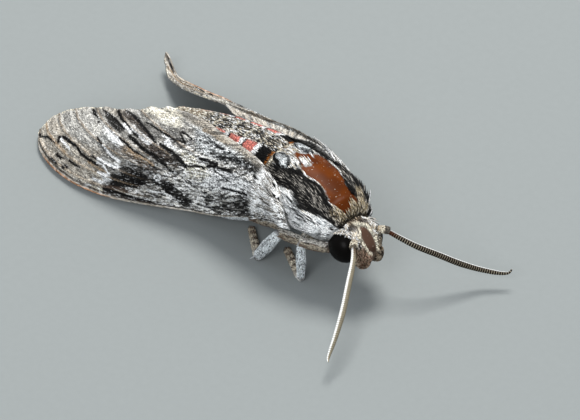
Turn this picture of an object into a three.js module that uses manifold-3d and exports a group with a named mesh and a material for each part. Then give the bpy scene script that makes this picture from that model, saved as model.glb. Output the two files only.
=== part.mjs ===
// A male convolvulus hawk moth, Agrius convolvuli, at rest, at life size.
// Millimetres. +X is the way the moth faces, +Y its left side, +Z up, and z = 0 the floor under its feet.
// Places along the body are counted from the antenna sockets; BODY_SHIFT then centres the moth on the origin.

import * as THREE from "three";
import { mergeVertices } from "three/addons/utils/BufferGeometryUtils.js";
import Module from "manifold-3d";

const wasm = await Module();
wasm.setup();

// ---------- driving sizes ----------

const BODY_SHIFT = [23.03, 0, 0]; // from the antenna sockets back to the middle of the whole length
const GAP = 0.3; // clearance between neighbouring pieces
const SIDES = { right: -1, left: 1 };

// Cross-sections of the body along its length: [x, top z, bottom z, half width, z of the widest place].
// keel above 1 draws the lower half in to a blunt keel.
const THORAX_FRONT = -2.3;
const THORAX_REAR = -18.2;
const THORAX = {
  keel: 1.3,
  stations: [
    [THORAX_FRONT, 12.0, 7.2, 3.1, 9.8],
    [-3.4, 13.5, 6.6, 4.4, 10.1],
    [-5.6, 15.1, 5.9, 5.4, 10.5],
    [-8.4, 16.1, 5.2, 5.9, 10.8],
    [-11.4, 16.8, 4.9, 6.0, 11.0],
    [-14.4, 17.2, 5.1, 5.7, 11.2],
    [-16.6, 17.1, 5.7, 5.2, 11.4],
    [THORAX_REAR, 16.5, 6.6, 4.7, 11.6],
  ],
};
// The ruff behind the head, the lappet over each wing root (at an angle above the flank) and the hair tufts.
const COLLAR = { from: -2.6, to: -4.9, raise: 0.3, ramp: 0.55, lowest: -0.6, full: 0.1 };
const TEGULA = { x: -9.6, angle: 0.2, halfLength: 5.6, halfAngle: 0.5, raise: 0.55, slope: 0.28 };
const REAR_TUFT = { x: -16.5, y: 2.5, radius: 1.35, height: 1.08, sink: 0.75 };
const THORAX_STEPS = 16;
const THORAX_SIDES = 26;

const ABDOMEN_FRONT = THORAX_REAR - GAP;
const ABDOMEN_SEGMENTS = 7;
const ABDOMEN = {
  keel: 1,
  stations: [
    [ABDOMEN_FRONT, 16.6, 6.5, 4.6, 11.4],
    [-21.5, 16.4, 6.1, 5.0, 11.1],
    [-25.5, 15.4, 5.8, 5.0, 10.5],
    [-30.5, 14.0, 5.6, 4.6, 9.7],
    [-35.0, 12.4, 5.5, 3.8, 8.8],
    [-39.0, 10.9, 5.6, 2.85, 8.1],
    [-42.0, 9.6, 6.0, 1.75, 7.8],
    [-43.6, 8.5, 6.8, 0.75, 7.6],
  ],
};
const SEGMENT_STEP = 0.28; // how far the rear rim of an abdominal ring stands over the next ring
const SEGMENT_SHARES = [0, 0.35, 0.94]; // where each ring of the abdomen has its cross-sections
const ABDOMEN_SIDES = 22;

// The head leans a little to the left, so its left eye sits lower and closer in.
const EYE = { at: { right: [-1.75, 2.65, 8.9], left: [-2.0, 2.35, 8.2] }, long: 2.6, wide: 2.15, high: 2.6 };
const HEAD_FRONT = 2.0;
const HEAD = {
  keel: 1,
  stations: [
    [HEAD_FRONT, 9.5, 7.1, 1.3, 8.4],
    [1.4, 10.3, 6.5, 2.1, 8.6],
    [0.5, 11.2, 6.1, 2.8, 8.9],
    [-0.5, 11.9, 6.0, 3.2, 9.2],
    [THORAX_FRONT + GAP, 12.1, 6.4, 3.0, 9.6],
  ],
};
const HEAD_STEPS = 9;
const HEAD_SIDES = 20;
const SOCKET = [0.1, 2.2, 10.9];

const WING_THICKNESS = 0.5;
const VEIN_HEIGHT = 0.22;
const VEIN_RAMP = [-0.08, 0.06]; // over what share of the wing a vein rises, about its start
const SWELL = { atRoot: 0.4, fullFrom: 0.3 }; // share of the bow at the root, and where the bow is full

// Edges of each forewing, [x, distance from the midline, z]: front edge, inner edge and outer edge.
// bow: how far the middle of the wing stands proud of its chord; curl: how far the tip turns up.
const FOREWINGS = {
  right: {
    front: [
      [-9.0, 6.9, 10.0],
      [-11.6, 7.3, 9.8],
      [-15.2, 7.3, 8.6],
      [-20.4, 7.5, 5.6],
      [-25.2, 8.1, 3.2],
      [-30.5, 9.3, 1.6],
      [-36.4, 12.5, 0.85],
      [-41.6, 15.4, 0.7],
      [-47.3, 17.1, 0.65],
      [-52.5, 17.1, 0.65],
      [-57.4, 15.6, 0.65],
      [-60.1, 13.4, 0.7],
    ],
    outer: [
      [-60.1, 13.4, 0.7],
      [-58.7, 12.0, 3.6],
      [-55.2, 10.5, 6.7],
      [-51.3, 8.5, 8.3],
      [-46.8, 6.4, 9.4],
      [-43.2, 4.3, 10.8],
      [-40.3, 2.65, 11.8],
    ],
    inner: [
      [-12.6, 5.4, 13.6],
      [-14.6, 5.2, 15.0],
      [-17.4, 4.7, 15.9],
      [-20.9, 4.35, 15.9],
      [-25.7, 3.8, 15.1],
      [-31.8, 3.0, 14.0],
      [-36.8, 2.6, 12.9],
      [-40.3, 2.65, 11.8],
    ],
    bow: 1.4,
    curl: [0, 0, 0],
  },
  left: {
    front: [
      [-9.0, 6.9, 10.0],
      [-11.6, 7.3, 9.8],
      [-15.2, 7.3, 8.6],
      [-20.4, 7.8, 5.6],
      [-25.2, 8.7, 3.2],
      [-30.5, 10.1, 1.6],
      [-36.2, 12.1, 1.0],
      [-41.2, 13.4, 0.8],
      [-46.2, 13.7, 0.75],
      [-51.2, 12.5, 0.75],
      [-55.6, 11.7, 0.8],
      [-59.6, 11.7, 0.9],
    ],
    outer: [
      [-59.6, 11.7, 0.9],
      [-58.9, 10.8, 0.95],
      [-56.9, 9.8, 1.5],
      [-53.6, 8.5, 2.9],
      [-49.8, 7.2, 4.7],
      [-44.6, 5.9, 7.3],
      [-39.3, 4.9, 9.8],
    ],
    inner: [
      [-12.6, 5.4, 13.6],
      [-14.6, 5.2, 15.0],
      [-17.4, 4.7, 15.9],
      [-20.9, 4.35, 15.9],
      [-26.2, 3.8, 14.9],
      [-31.4, 3.7, 13.4],
      [-35.4, 4.2, 11.8],
      [-39.3, 4.9, 9.8],
    ],
    bow: 1.3,
    curl: [-0.4, 0.8, 2.0],
  },
};
const CURL_START = 0.93; // share of the wing's length from which its tip turns up
const CURL_WIDTH = 0.22; // share of the chord over which it dies away
// The main veins, as shares of the chord from the front edge: where each lies at the base, at the end of the
// discal cell and at the outer margin, and how far along the wing it starts to stand up.
const FOREWING_VEINS = [
  { base: 0.2, cell: 0.09, margin: 0.03, from: 0.0 },
  { base: 0.3, cell: 0.18, margin: 0.1, from: 0.35 },
  { base: 0.38, cell: 0.26, margin: 0.22, from: 0.42 },
  { base: 0.46, cell: 0.36, margin: 0.35, from: 0.46 },
  { base: 0.54, cell: 0.46, margin: 0.49, from: 0.44 },
  { base: 0.62, cell: 0.56, margin: 0.63, from: 0.36 },
  { base: 0.7, cell: 0.7, margin: 0.78, from: 0.0 },
  { base: 0.88, cell: 0.89, margin: 0.93, from: 0.0 },
];
const CELL_END = 0.46;
const FOREWING_STEPS = 21;
const SCALLOP = { apex: 0.15, tornus: 0.5 }; // how far the fringe stands out between vein ends

const HINDWING = {
  front: [
    [-13.6, 5.3, 9.4],
    [-16.6, 6.0, 8.4],
    [-20.4, 6.4, 5.9],
    [-25.0, 7.0, 3.5],
    [-30.0, 8.0, 2.1],
    [-35.0, 9.4, 1.8],
    [-39.5, 10.8, 2.0],
  ],
  inner: [
    [-15.0, 4.9, 12.2],
    [-18.2, 5.8, 11.6],
    [-22.0, 5.95, 11.0],
    [-27.0, 5.9, 10.2],
    [-32.0, 5.6, 9.3],
  ],
  outer: [
    [-39.5, 10.8, 2.0],
    [-39.5, 9.2, 4.6],
    [-36.6, 7.1, 7.4],
    [-32.0, 5.6, 9.3],
  ],
  bow: 0.45,
  curl: [0, 0, 0],
};
const HINDWING_VEINS = [
  { base: 0.2, cell: 0.16, margin: 0.12, from: 0.0 },
  { base: 0.4, cell: 0.38, margin: 0.36, from: 0.35 },
  { base: 0.6, cell: 0.6, margin: 0.6, from: 0.35 },
  { base: 0.8, cell: 0.81, margin: 0.82, from: 0.0 },
];
const HINDWING_STEPS = 12;

// Legs: joints as [x, distance from the midline, z]; spurs: where on the shin each pair stands.
const FOOT = {
  radius: 0.5,
  axisHeight: 0.3,
  segments: 5,
  start: 0.12, // share of the length where the first segment starts
  bend: 0.07, // share of the length where the foot meets the floor
  waist: 0.82, // shares of the radius at the thin and the thick end of the first segment
  knob: 1.1,
  thinning: 0.05, // what each further segment loses
};
const CLAW = { length: 1.1, radius: 0.24, lean: 0.5, dip: 0.05, sink: 0.3 };
const LEGS = {
  fore: {
    root: [-4.7, 2.4, 7.6],
    trochanter: [-4.7, 3.4, 7.1],
    knee: [-7.5, 6.15, 8.0],
    ankle: [-7.7, 5.9, 0.95],
    toe: [-14.1, 3.0],
    spurs: [],
  },
  mid: {
    root: [-9.6, 2.6, 6.2],
    trochanter: [-9.6, 3.7, 5.3],
    knee: [-12.0, 6.4, 7.1],
    ankle: [-15.7, 7.5, 0.95],
    toe: [-21.4, 3.8],
    spurs: [0.88],
  },
  hind: {
    root: [-15.0, 2.4, 6.0],
    trochanter: [-15.8, 3.2, 4.6],
    knee: [-19.9, 5.0, 4.6],
    ankle: [-28.0, 5.6, 0.95],
    toe: [-36.4, 6.6],
    spurs: [0.55, 0.9],
  },
};
const LIMB_SIDES = 7;
const LIMB = { coxa: 0.95, trochanter: 0.72, femur: 0.78, knee: 0.62, tibia: 0.84, ankle: 0.5 }; // radii
const SPUR = { length: 1.95, radius: 0.27, lean: 0.75, droop: 0.35 }; // length counted from the shin's middle

const ANTENNA = {
  // the thick first joint, from the head to just past the foot of the whip
  scape: {
    length: 1.2,
    overlap: 0.35,
    radii: [
      [0, 0.45],
      [0.5, 0.6],
      [1, 0.4],
    ],
  },
  rings: 20,
  bead: 0.07, // how much a ring's rim stands out, as a share of the radius
  // share of the length, radius
  radii: [
    [0, 0.34],
    [0.25, 0.5],
    [0.6, 0.52],
    [0.86, 0.4],
    [0.95, 0.25],
    [1, 0.1],
  ],
  // [x, distance from the midline, z] from the end of the scape to the hooked tip
  path: {
    right: [
      [1.1, 3.2, 10.95],
      [2.84, 4.85, 10.3],
      [5.59, 8.33, 8.94],
      [7.9, 11.47, 7.19],
      [9.72, 14.57, 5.11],
      [11.0, 17.1, 3.3],
      [11.7, 17.75, 3.35],
    ],
    left: [
      [1.1, 3.25, 10.6],
      [2.21, 3.85, 10.1],
      [5.12, 5.67, 8.7],
      [7.3, 8.25, 6.9],
      [9.3, 10.98, 4.9],
      [11.2, 13.8, 3.25],
      [13.3, 16.0, 2.65],
      [13.95, 16.8, 2.75],
      [14.0, 17.3, 3.15],
    ],
  },
};

const PALP = {
  from: [-1.6, 1.3, 6.8],
  bend: [1.2, 1.35, 6.6],
  tip: [2.3, 1.1, 8.9],
  steps: 9,
  radii: [
    [0, 0.5],
    [0.35, 0.86],
    [0.75, 0.69],
    [1, 0.35],
  ],
};

const COLOURS = {
  thorax: 0x77736c,
  abdomen: 0x9a948a,
  head: 0x8f8578,
  eye: 0x0b0a09,
  forewing: 0x8d8880,
  hindwing: 0x756f68,
  leg: 0x9d9a96,
  antenna: 0xc9bfa8,
};

// ---------- small helpers ----------

const clamp = (t, low = 0, high = 1) => Math.min(high, Math.max(low, t));
const smooth = (low, high, t) => {
  const s = clamp((t - low) / (high - low));
  return s * s * (3 - 2 * s);
};
const vec = (side, [x, y, z]) => new THREE.Vector3(x, y * SIDES[side], z);
const curveOf = (points) => new THREE.CatmullRomCurve3(points, false, "centripetal");

// Smooth interpolation of a table whose first column is x, with x falling from row to row.
function stationAt(stations, x) {
  let i = 0;
  while (i < stations.length - 2 && x < stations[i + 1][0]) i += 1;
  const rows = [-1, 0, 1, 2].map((k) => stations[clamp(i + k, 0, stations.length - 1)]);
  const t = clamp((x - rows[1][0]) / (rows[2][0] - rows[1][0]));
  return rows[1].slice(1).map((_, c) => {
    const [a, b, d, e] = rows.map((row) => row[c + 1]);
    const slopeIn = (d - a) / 2;
    const slopeOut = (e - b) / 2;
    const t2 = t * t;
    const t3 = t2 * t;
    return (
      b * (2 * t3 - 3 * t2 + 1) + slopeIn * (t3 - 2 * t2 + t) + d * (3 * t2 - 2 * t3) + slopeOut * (t3 - t2)
    );
  });
}

const power = (value, exponent) => Math.sign(value) * Math.abs(value) ** exponent;

// A point on a body's surface: angle 0 is the left flank, a quarter turn up is the back.
function bodyPoint({ stations, keel }, x, angle, raise = 0) {
  const [top, bottom, halfWidth, waist] = stationAt(stations, x);
  const isUpper = Math.sin(angle) > 0;
  const half = isUpper ? top - waist : waist - bottom;
  const c = power(Math.cos(angle), isUpper ? 1 : keel);
  const s = power(Math.sin(angle), isUpper ? 1 : keel);
  return new THREE.Vector3(x, (halfWidth + raise) * c, waist + (half + raise) * s);
}

// A closed geometry from rings of equal length, each ring turning anticlockwise seen from its far end.
function loft(rings) {
  const n = rings[0].length;
  const points = rings.flat();
  const faces = [];
  rings.slice(1).forEach((_, i) => {
    for (let j = 0; j < n; j += 1) {
      const a = i * n + j;
      const b = i * n + ((j + 1) % n);
      faces.push(a, b, b + n, a, b + n, a + n);
    }
  });
  [0, rings.length - 1].forEach((row) => {
    const centre = rings[row].reduce((sum, p) => sum.add(p), new THREE.Vector3()).divideScalar(n);
    const hub = points.push(centre) - 1;
    for (let j = 0; j < n; j += 1) {
      const a = row * n + j;
      const b = row * n + ((j + 1) % n);
      faces.push(hub, ...(row ? [a, b] : [b, a]));
    }
  });
  return new THREE.BufferGeometry().setFromPoints(points).setIndex(faces);
}

// A tube along a curve, with a ring of the given radius at each listed share of its length.
// Nothing reaches below the floor.
function tube(curve, rings, sides) {
  const side = curve.getTangentAt(0).cross(new THREE.Vector3(0, 0, 1)).normalize();
  return loft(
    rings.map(([t, radius]) => {
      const along = curve.getTangentAt(t);
      side.addScaledVector(along, -side.dot(along)).normalize();
      const up = along.clone().cross(side);
      return Array.from({ length: sides }, (_, j) => {
        const turn = (2 * Math.PI * (j + 0.5)) / sides;
        const p = curve.getPointAt(t).addScaledVector(side, radius * Math.cos(turn));
        p.addScaledVector(up, radius * Math.sin(turn)).z = Math.max(p.z, 0);
        return p;
      });
    }),
  );
}

// Evenly spaced rings [share, radius] that follow a table of the same kind.
const rings = (table, steps) =>
  Array.from({ length: steps + 1 }, (_, k) => {
    const t = k / steps;
    const found = table.findIndex((row) => row[0] >= t);
    const i = clamp(found, 1, table.length - 1);
    const [[t0, r0], [t1, r1]] = [table[i - 1], table[i]];
    return [t, r0 + (r1 - r0) * smooth(0, 1, (t - t0) / (t1 - t0))];
  });

function solid(geometry) {
  const bare = new THREE.BufferGeometry()
    .setAttribute("position", geometry.getAttribute("position"))
    .setIndex(geometry.getIndex());
  const merged = mergeVertices(bare, 1e-4);
  return new wasm.Manifold(
    new wasm.Mesh({
      numProp: 3,
      vertProperties: new Float32Array(merged.getAttribute("position").array),
      triVerts: new Uint32Array(merged.getIndex().array),
    }),
  );
}

// The largest closed surface of a solid, as a geometry.
function geometryOf(manifold) {
  const whole = manifold.decompose().sort((a, b) => b.volume() - a.volume())[0];
  const { vertProperties, triVerts } = whole.getMesh();
  return new THREE.BufferGeometry()
    .setAttribute("position", new THREE.BufferAttribute(new Float32Array(vertProperties), 3))
    .setIndex(new THREE.BufferAttribute(triVerts, 1));
}

const join = (geometries) => geometries.map(solid).reduce((whole, piece) => whole.add(piece));

function ellipsoid(centre, radii, columns = 20, rows = 14) {
  return new THREE.SphereGeometry(1, columns, rows)
    .scale(...radii)
    .translate(...centre.toArray());
}

function spike(from, direction, length, radius) {
  const cone = new THREE.ConeGeometry(radius, length, 5).translate(0, length / 2, 0);
  const upright = new THREE.Vector3(0, 1, 0);
  const turn = new THREE.Quaternion().setFromUnitVectors(upright, direction.clone().normalize());
  return cone.applyQuaternion(turn).translate(...from.toArray());
}

const group = new THREE.Group();

function addNode(name, colour, whole, roughness = 0.8) {
  const geometry = geometryOf(whole);
  geometry.computeVertexNormals();
  const material = new THREE.MeshStandardMaterial({ color: colour, roughness, metalness: 0 });
  const mesh = new THREE.Mesh(geometry, material);
  mesh.name = name;
  mesh.position.set(...BODY_SHIFT);
  group.add(mesh);
}

// ---------- body ----------

function bodyLoft(body, xs, sides, raiseAt) {
  return loft(
    xs.map((x) =>
      Array.from({ length: sides }, (_, j) => {
        const angle = (-2 * Math.PI * j) / sides;
        return bodyPoint(body, x, angle, raiseAt(x, angle));
      }),
    ),
  );
}

function spread(from, to, count) {
  return Array.from({ length: count + 1 }, (_, i) => from + ((to - from) * i) / count);
}

// How far a point of the thorax stands out for the collar and for the shoulder lappet over the wing root.
function thoraxRaise(x, angle) {
  const flank = Math.atan2(Math.sin(angle), Math.abs(Math.cos(angle)));
  const along = (x - TEGULA.x) / TEGULA.halfLength;
  const across = (flank - TEGULA.angle) / TEGULA.halfAngle;
  const lappet = TEGULA.raise * (1 - smooth(1 - TEGULA.slope, 1, Math.hypot(along, across)));
  const rise = smooth(COLLAR.from, COLLAR.from - COLLAR.ramp, x);
  const fall = 1 - smooth(COLLAR.to, COLLAR.to - COLLAR.ramp, x);
  return lappet + COLLAR.raise * rise * fall * smooth(COLLAR.lowest, COLLAR.full, flank);
}

function thorax() {
  const shell = bodyLoft(THORAX, spread(THORAX_FRONT, THORAX_REAR, THORAX_STEPS), THORAX_SIDES, thoraxRaise);
  const tufts = Object.keys(SIDES).map((side) => {
    const z = stationAt(THORAX.stations, REAR_TUFT.x)[0] - REAR_TUFT.sink;
    const { radius, height } = REAR_TUFT;
    return ellipsoid(vec(side, [REAR_TUFT.x, REAR_TUFT.y, z]), [radius, radius, height], 10, 8);
  });
  return join([shell, ...tufts]).subtract(eyes(GAP));
}

// The room the thorax needs, which its neighbours are trimmed to.
function thoraxRoom() {
  const margin = GAP + 0.04;
  const xs = spread(THORAX_FRONT, THORAX_REAR, THORAX_STEPS);
  return solid(bodyLoft(THORAX, xs, THORAX_SIDES, (x, angle) => thoraxRaise(x, angle) + margin));
}

// Each ring of the abdomen widens to its rear rim and steps over the next one.
function abdomen() {
  const rear = ABDOMEN.stations.at(-1)[0];
  const pitch = (rear - ABDOMEN_FRONT) / ABDOMEN_SEGMENTS;
  const xs = [];
  const steps = new Map();
  for (let k = 0; k < ABDOMEN_SEGMENTS; k += 1) {
    SEGMENT_SHARES.forEach((share) => {
      const x = ABDOMEN_FRONT + pitch * (k + share);
      xs.push(x);
      steps.set(x, k === ABDOMEN_SEGMENTS - 1 ? 0 : SEGMENT_STEP * (share - 0.5));
    });
  }
  xs.push(rear);
  steps.set(rear, 0);
  return solid(bodyLoft(ABDOMEN, xs, ABDOMEN_SIDES, (x) => steps.get(x)));
}

function eyeSolid(side, grow) {
  const radii = [EYE.long, EYE.wide, EYE.high].map((radius) => radius + grow);
  return solid(ellipsoid(vec(side, EYE.at[side]), radii, 16, 12));
}

const eyes = (grow) => eyeSolid("left", grow).add(eyeSolid("right", grow));

// The head's outline; raised by a margin, it is the room the antennae leave for it.
function headShell(raise) {
  const xs = spread(HEAD_FRONT + raise, THORAX_FRONT + GAP, HEAD_STEPS);
  return solid(bodyLoft(HEAD, xs, HEAD_SIDES, () => raise));
}

function head() {
  return headShell(0)
    .subtract(eyes(GAP))
    .subtract(palp("left", GAP))
    .subtract(palp("right", GAP));
}

// ---------- wings ----------

// A surface through four edge curves: front and inner edges run along the wing, outer edge and root across.
function wingSurface(side, { front, inner, outer, bow, curl }) {
  const frontCurve = curveOf(front.map((p) => vec(side, p)));
  const innerCurve = curveOf(inner.map((p) => vec(side, p)));
  const outerCurve = curveOf(outer.map((p) => vec(side, p)));
  const corners = [0, 1].flatMap((end) => [frontCurve.getPoint(end), innerCurve.getPoint(end)]);
  const flat = (u, v) => {
    const alongEdges = frontCurve.getPointAt(u).lerp(innerCurve.getPointAt(u), v);
    const acrossEdges = corners[0].clone().lerp(corners[1], v).lerp(outerCurve.getPointAt(v), u);
    const ruled = corners[0].clone().lerp(corners[1], v).lerp(corners[2].clone().lerp(corners[3], v), u);
    return alongEdges.add(acrossEdges).sub(ruled);
  };
  const normalAt = (u, v) => {
    const d = 0.01;
    const [u0, u1, v0, v1] = [clamp(u - d), clamp(u + d), clamp(v - d), clamp(v + d)];
    const alongU = flat(u1, v).sub(flat(u0, v));
    const alongV = flat(u, v1).sub(flat(u, v0));
    return alongU.cross(alongV).normalize().multiplyScalar(SIDES[side]);
  };
  return (u, v) => {
    const normal = normalAt(u, v);
    const fullness = SWELL.atRoot + (1 - SWELL.atRoot) * smooth(0, SWELL.fullFrom, u);
    const swell = bow * 4 * v * (1 - v) * fullness * (1 - u ** 3);
    const turn = smooth(CURL_START, 1, u) * (1 - smooth(0, CURL_WIDTH, v));
    const point = flat(u, v).addScaledVector(normal, swell).addScaledVector(vec(side, curl), turn);
    return { point, normal };
  };
}

// Chord shares of the mesh lines: the edges, every vein, and a line midway between neighbours.
function chordLines(veins, u) {
  const at = ({ base, cell, margin }) =>
    u < CELL_END
      ? base + (cell - base) * smooth(0, CELL_END, u)
      : cell + ((margin - cell) * (u - CELL_END)) / (1 - CELL_END);
  const main = [0, ...veins.map(at), 1];
  return main.flatMap((v, k) => (k ? [(main[k - 1] + v) / 2, v] : [v]));
}

// A closed thin shell over the wing surface, with the veins raised in its upper face.
function wing(side, edges, veins, steps) {
  const surface = wingSurface(side, edges);
  const upper = [];
  const lower = [];
  for (let i = 0; i <= steps; i += 1) {
    const u = i / steps;
    const lines = chordLines(veins, u);
    lines.forEach((v, k) => {
      const { point, normal } = surface(u, v);
      const vein = k % 2 === 0 ? veins[k / 2 - 1] : undefined;
      const rise = vein ? VEIN_HEIGHT * smooth(...VEIN_RAMP.map((ramp) => vein.from + ramp), u) : 0;
      if (i === steps && k % 2) {
        const inland = surface(1 - 1 / steps, v).point;
        const reach = SCALLOP.apex + (SCALLOP.tornus - SCALLOP.apex) * v;
        point.addScaledVector(point.clone().sub(inland).normalize(), reach);
      }
      upper.push(point.clone().addScaledVector(normal, WING_THICKNESS / 2 + rise));
      lower.push(point.clone().addScaledVector(normal, -WING_THICKNESS / 2));
    });
  }
  const columns = 2 * veins.length + 3;
  const points = [...upper, ...lower];
  const under = upper.length;
  const faces = [];
  const quad = (a, b, c, d) => faces.push(a, b, c, a, c, d);
  for (let i = 0; i < steps; i += 1) {
    for (let j = 0; j < columns - 1; j += 1) {
      const a = i * columns + j;
      const [b, c, d] = [a + 1, a + columns + 1, a + columns];
      quad(a, b, c, d);
      faces.push(under + a, under + c, under + b, under + a, under + d, under + c);
    }
  }
  const rim = [];
  for (let j = 0; j < columns - 1; j += 1) rim.push(j);
  for (let i = 0; i < steps; i += 1) rim.push(i * columns + columns - 1);
  for (let j = columns - 1; j > 0; j -= 1) rim.push(steps * columns + j);
  for (let i = steps; i > 0; i -= 1) rim.push(i * columns);
  rim.forEach((a, k) => {
    const b = rim[(k + 1) % rim.length];
    quad(b, a, under + a, under + b);
  });
  if (SIDES[side] > 0) faces.reverse();
  return solid(new THREE.BufferGeometry().setFromPoints(points).setIndex(faces));
}

// ---------- legs, antennae and mouthparts ----------

function leg(side, { root, trochanter, knee, ankle, toe, spurs }) {
  const [hip, bend, heel] = [trochanter, knee, ankle].map((p) => vec(side, p));
  const footEnd = vec(side, [...toe, FOOT.axisHeight]);
  const footStart = heel.clone().lerp(footEnd, FOOT.bend).setZ(FOOT.axisHeight);
  return join([
    limb([vec(side, root), hip], [LIMB.coxa, LIMB.trochanter]),
    limb([hip, bend], [LIMB.trochanter, LIMB.femur, LIMB.knee]),
    limb([bend, heel], [LIMB.knee, LIMB.tibia, LIMB.ankle]),
    knob(hip, LIMB.trochanter),
    knob(bend, LIMB.knee),
    footTube(heel, footStart, footEnd),
    ...claws(footStart, footEnd),
    ...spurs.flatMap((share) => spurPair(bend, heel, share)),
  ])
    .subtract(thoraxRoom())
    .subtract(eyes(GAP));
}

// The rounded joint between two limbs.
const knob = (centre, radius) => ellipsoid(centre, [radius, radius, radius], 7, 5);

// A straight limb between two joints.
function limb(joints, radii) {
  const table = radii.map((radius, i) => [i / (radii.length - 1), radius]);
  return tube(new THREE.LineCurve3(...joints), rings(table, 2 * (radii.length - 1)), LIMB_SIDES);
}

// Five foot segments, each swelling towards its far end, flat on the floor.
function footTube(heel, start, end) {
  const path = new THREE.CatmullRomCurve3([heel, start, end], false, "chordal");
  const pitch = (1 - FOOT.start) / FOOT.segments;
  const table = [[0, LIMB.ankle]];
  for (let k = 0; k < FOOT.segments; k += 1) {
    table.push([FOOT.start + pitch * k, FOOT.radius * FOOT.waist]);
    table.push([FOOT.start + pitch * (k + 0.8), FOOT.radius * (FOOT.knob - FOOT.thinning * k)]);
  }
  table.push([1, FOOT.radius * FOOT.waist]);
  return tube(path, table, LIMB_SIDES);
}

function claws(start, end) {
  const along = end.clone().sub(start).setZ(0).normalize();
  const across = new THREE.Vector3(-along.y, along.x, 0);
  const root = end.clone().addScaledVector(along, -CLAW.sink);
  return [-1, 1].map((turn) => {
    const direction = along.clone().addScaledVector(across, CLAW.lean * turn).setZ(-CLAW.dip);
    return spike(root, direction, CLAW.length, CLAW.radius);
  });
}

function spurPair(from, to, share) {
  const along = to.clone().sub(from).normalize();
  const across = new THREE.Vector3(0, 0, 1).cross(along).normalize();
  const root = from.clone().lerp(to, share);
  return [-1, 1].map((turn) => {
    const direction = along.clone().addScaledVector(across, SPUR.lean * turn).setZ(along.z * SPUR.droop);
    return spike(root, direction, SPUR.length, SPUR.radius);
  });
}

function antenna(side) {
  const path = ANTENNA.path[side].map((p) => vec(side, p));
  const { scape, bead } = ANTENNA;
  const smoothRings = rings(ANTENNA.radii, ANTENNA.rings * 2);
  const beads = smoothRings.map(([t, r], k) => [t, r * (1 + (k % 2 ? -bead : bead))]);
  const outward = path[0].clone().sub(vec(side, SOCKET)).normalize();
  const start = path[0].clone().addScaledVector(outward, -scape.length);
  const end = path[0].clone().addScaledVector(outward, scape.overlap);
  return join([tube(curveOf(path), beads, 6), tube(new THREE.LineCurve3(start, end), rings(scape.radii, 4), 8)])
    .subtract(eyeSolid(side, GAP))
    .subtract(headShell(GAP));
}

// A palp; grown by a margin, it is the room its neighbours leave for it.
function palp(side, grow = 0) {
  const [from, bend, tip] = [PALP.from, PALP.bend, PALP.tip].map((p) => vec(side, p));
  const ends = [
    from.clone().addScaledVector(from.clone().sub(bend).normalize(), grow),
    tip.clone().addScaledVector(tip.clone().sub(bend).normalize(), grow),
  ];
  const table = rings(PALP.radii, PALP.steps).map(([t, r]) => [t, r + grow]);
  return solid(tube(curveOf([ends[0], bend, ends[1]]), table, 10));
}

// ---------- the moth ----------

addNode("thorax", COLOURS.thorax, thorax());
addNode("abdomen", COLOURS.abdomen, abdomen());
addNode("head", COLOURS.head, head());
Object.keys(SIDES).forEach((side) => {
  addNode(`eye_${side}`, COLOURS.eye, eyeSolid(side, 0), 0.15);
  addNode(`antenna_${side}`, COLOURS.antenna, antenna(side), 0.6);
  addNode(`palp_${side}`, COLOURS.head, palp(side).subtract(eyes(GAP)).subtract(thoraxRoom()));
  const forewing = wing(side, FOREWINGS[side], FOREWING_VEINS, FOREWING_STEPS);
  addNode(`forewing_${side}`, COLOURS.forewing, forewing.subtract(thoraxRoom()));
  const hindwing = wing(side, HINDWING, HINDWING_VEINS, HINDWING_STEPS);
  addNode(`hindwing_${side}`, COLOURS.hindwing, hindwing.subtract(thoraxRoom()));
  Object.entries(LEGS).forEach(([name, joints]) => {
    addNode(`leg_${name}_${side}`, COLOURS.leg, leg(side, joints));
  });
});

export default group;
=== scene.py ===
"""A resting male convolvulus hawk moth, Agrius convolvuli, as a life-size museum model.

+X is the way the moth faces, +Y its left side, +Z up. Tables are in millimetres, counted from the antenna
sockets as in the part's own source; place() turns them to metres in the shared frame.
"""

import math

import bpy
import numpy as np
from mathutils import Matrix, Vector


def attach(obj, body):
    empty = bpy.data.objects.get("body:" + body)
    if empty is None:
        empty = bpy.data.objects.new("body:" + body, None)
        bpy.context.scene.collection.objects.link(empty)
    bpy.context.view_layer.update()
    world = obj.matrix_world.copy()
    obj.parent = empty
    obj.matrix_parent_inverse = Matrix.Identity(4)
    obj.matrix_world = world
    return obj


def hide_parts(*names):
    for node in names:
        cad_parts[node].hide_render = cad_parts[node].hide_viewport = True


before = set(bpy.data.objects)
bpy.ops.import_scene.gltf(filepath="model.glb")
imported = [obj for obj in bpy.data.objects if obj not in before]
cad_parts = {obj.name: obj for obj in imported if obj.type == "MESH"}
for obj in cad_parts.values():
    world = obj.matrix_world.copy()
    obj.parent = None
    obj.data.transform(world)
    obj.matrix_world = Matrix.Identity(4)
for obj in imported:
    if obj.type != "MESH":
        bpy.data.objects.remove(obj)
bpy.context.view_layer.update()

# ---------- the moth's own sizes, millimetres ----------

MM = 0.001
BODY_SHIFT = np.array([23.03, 0.0, 0.0])
SIDES = {"right": -1.0, "left": 1.0}

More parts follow.
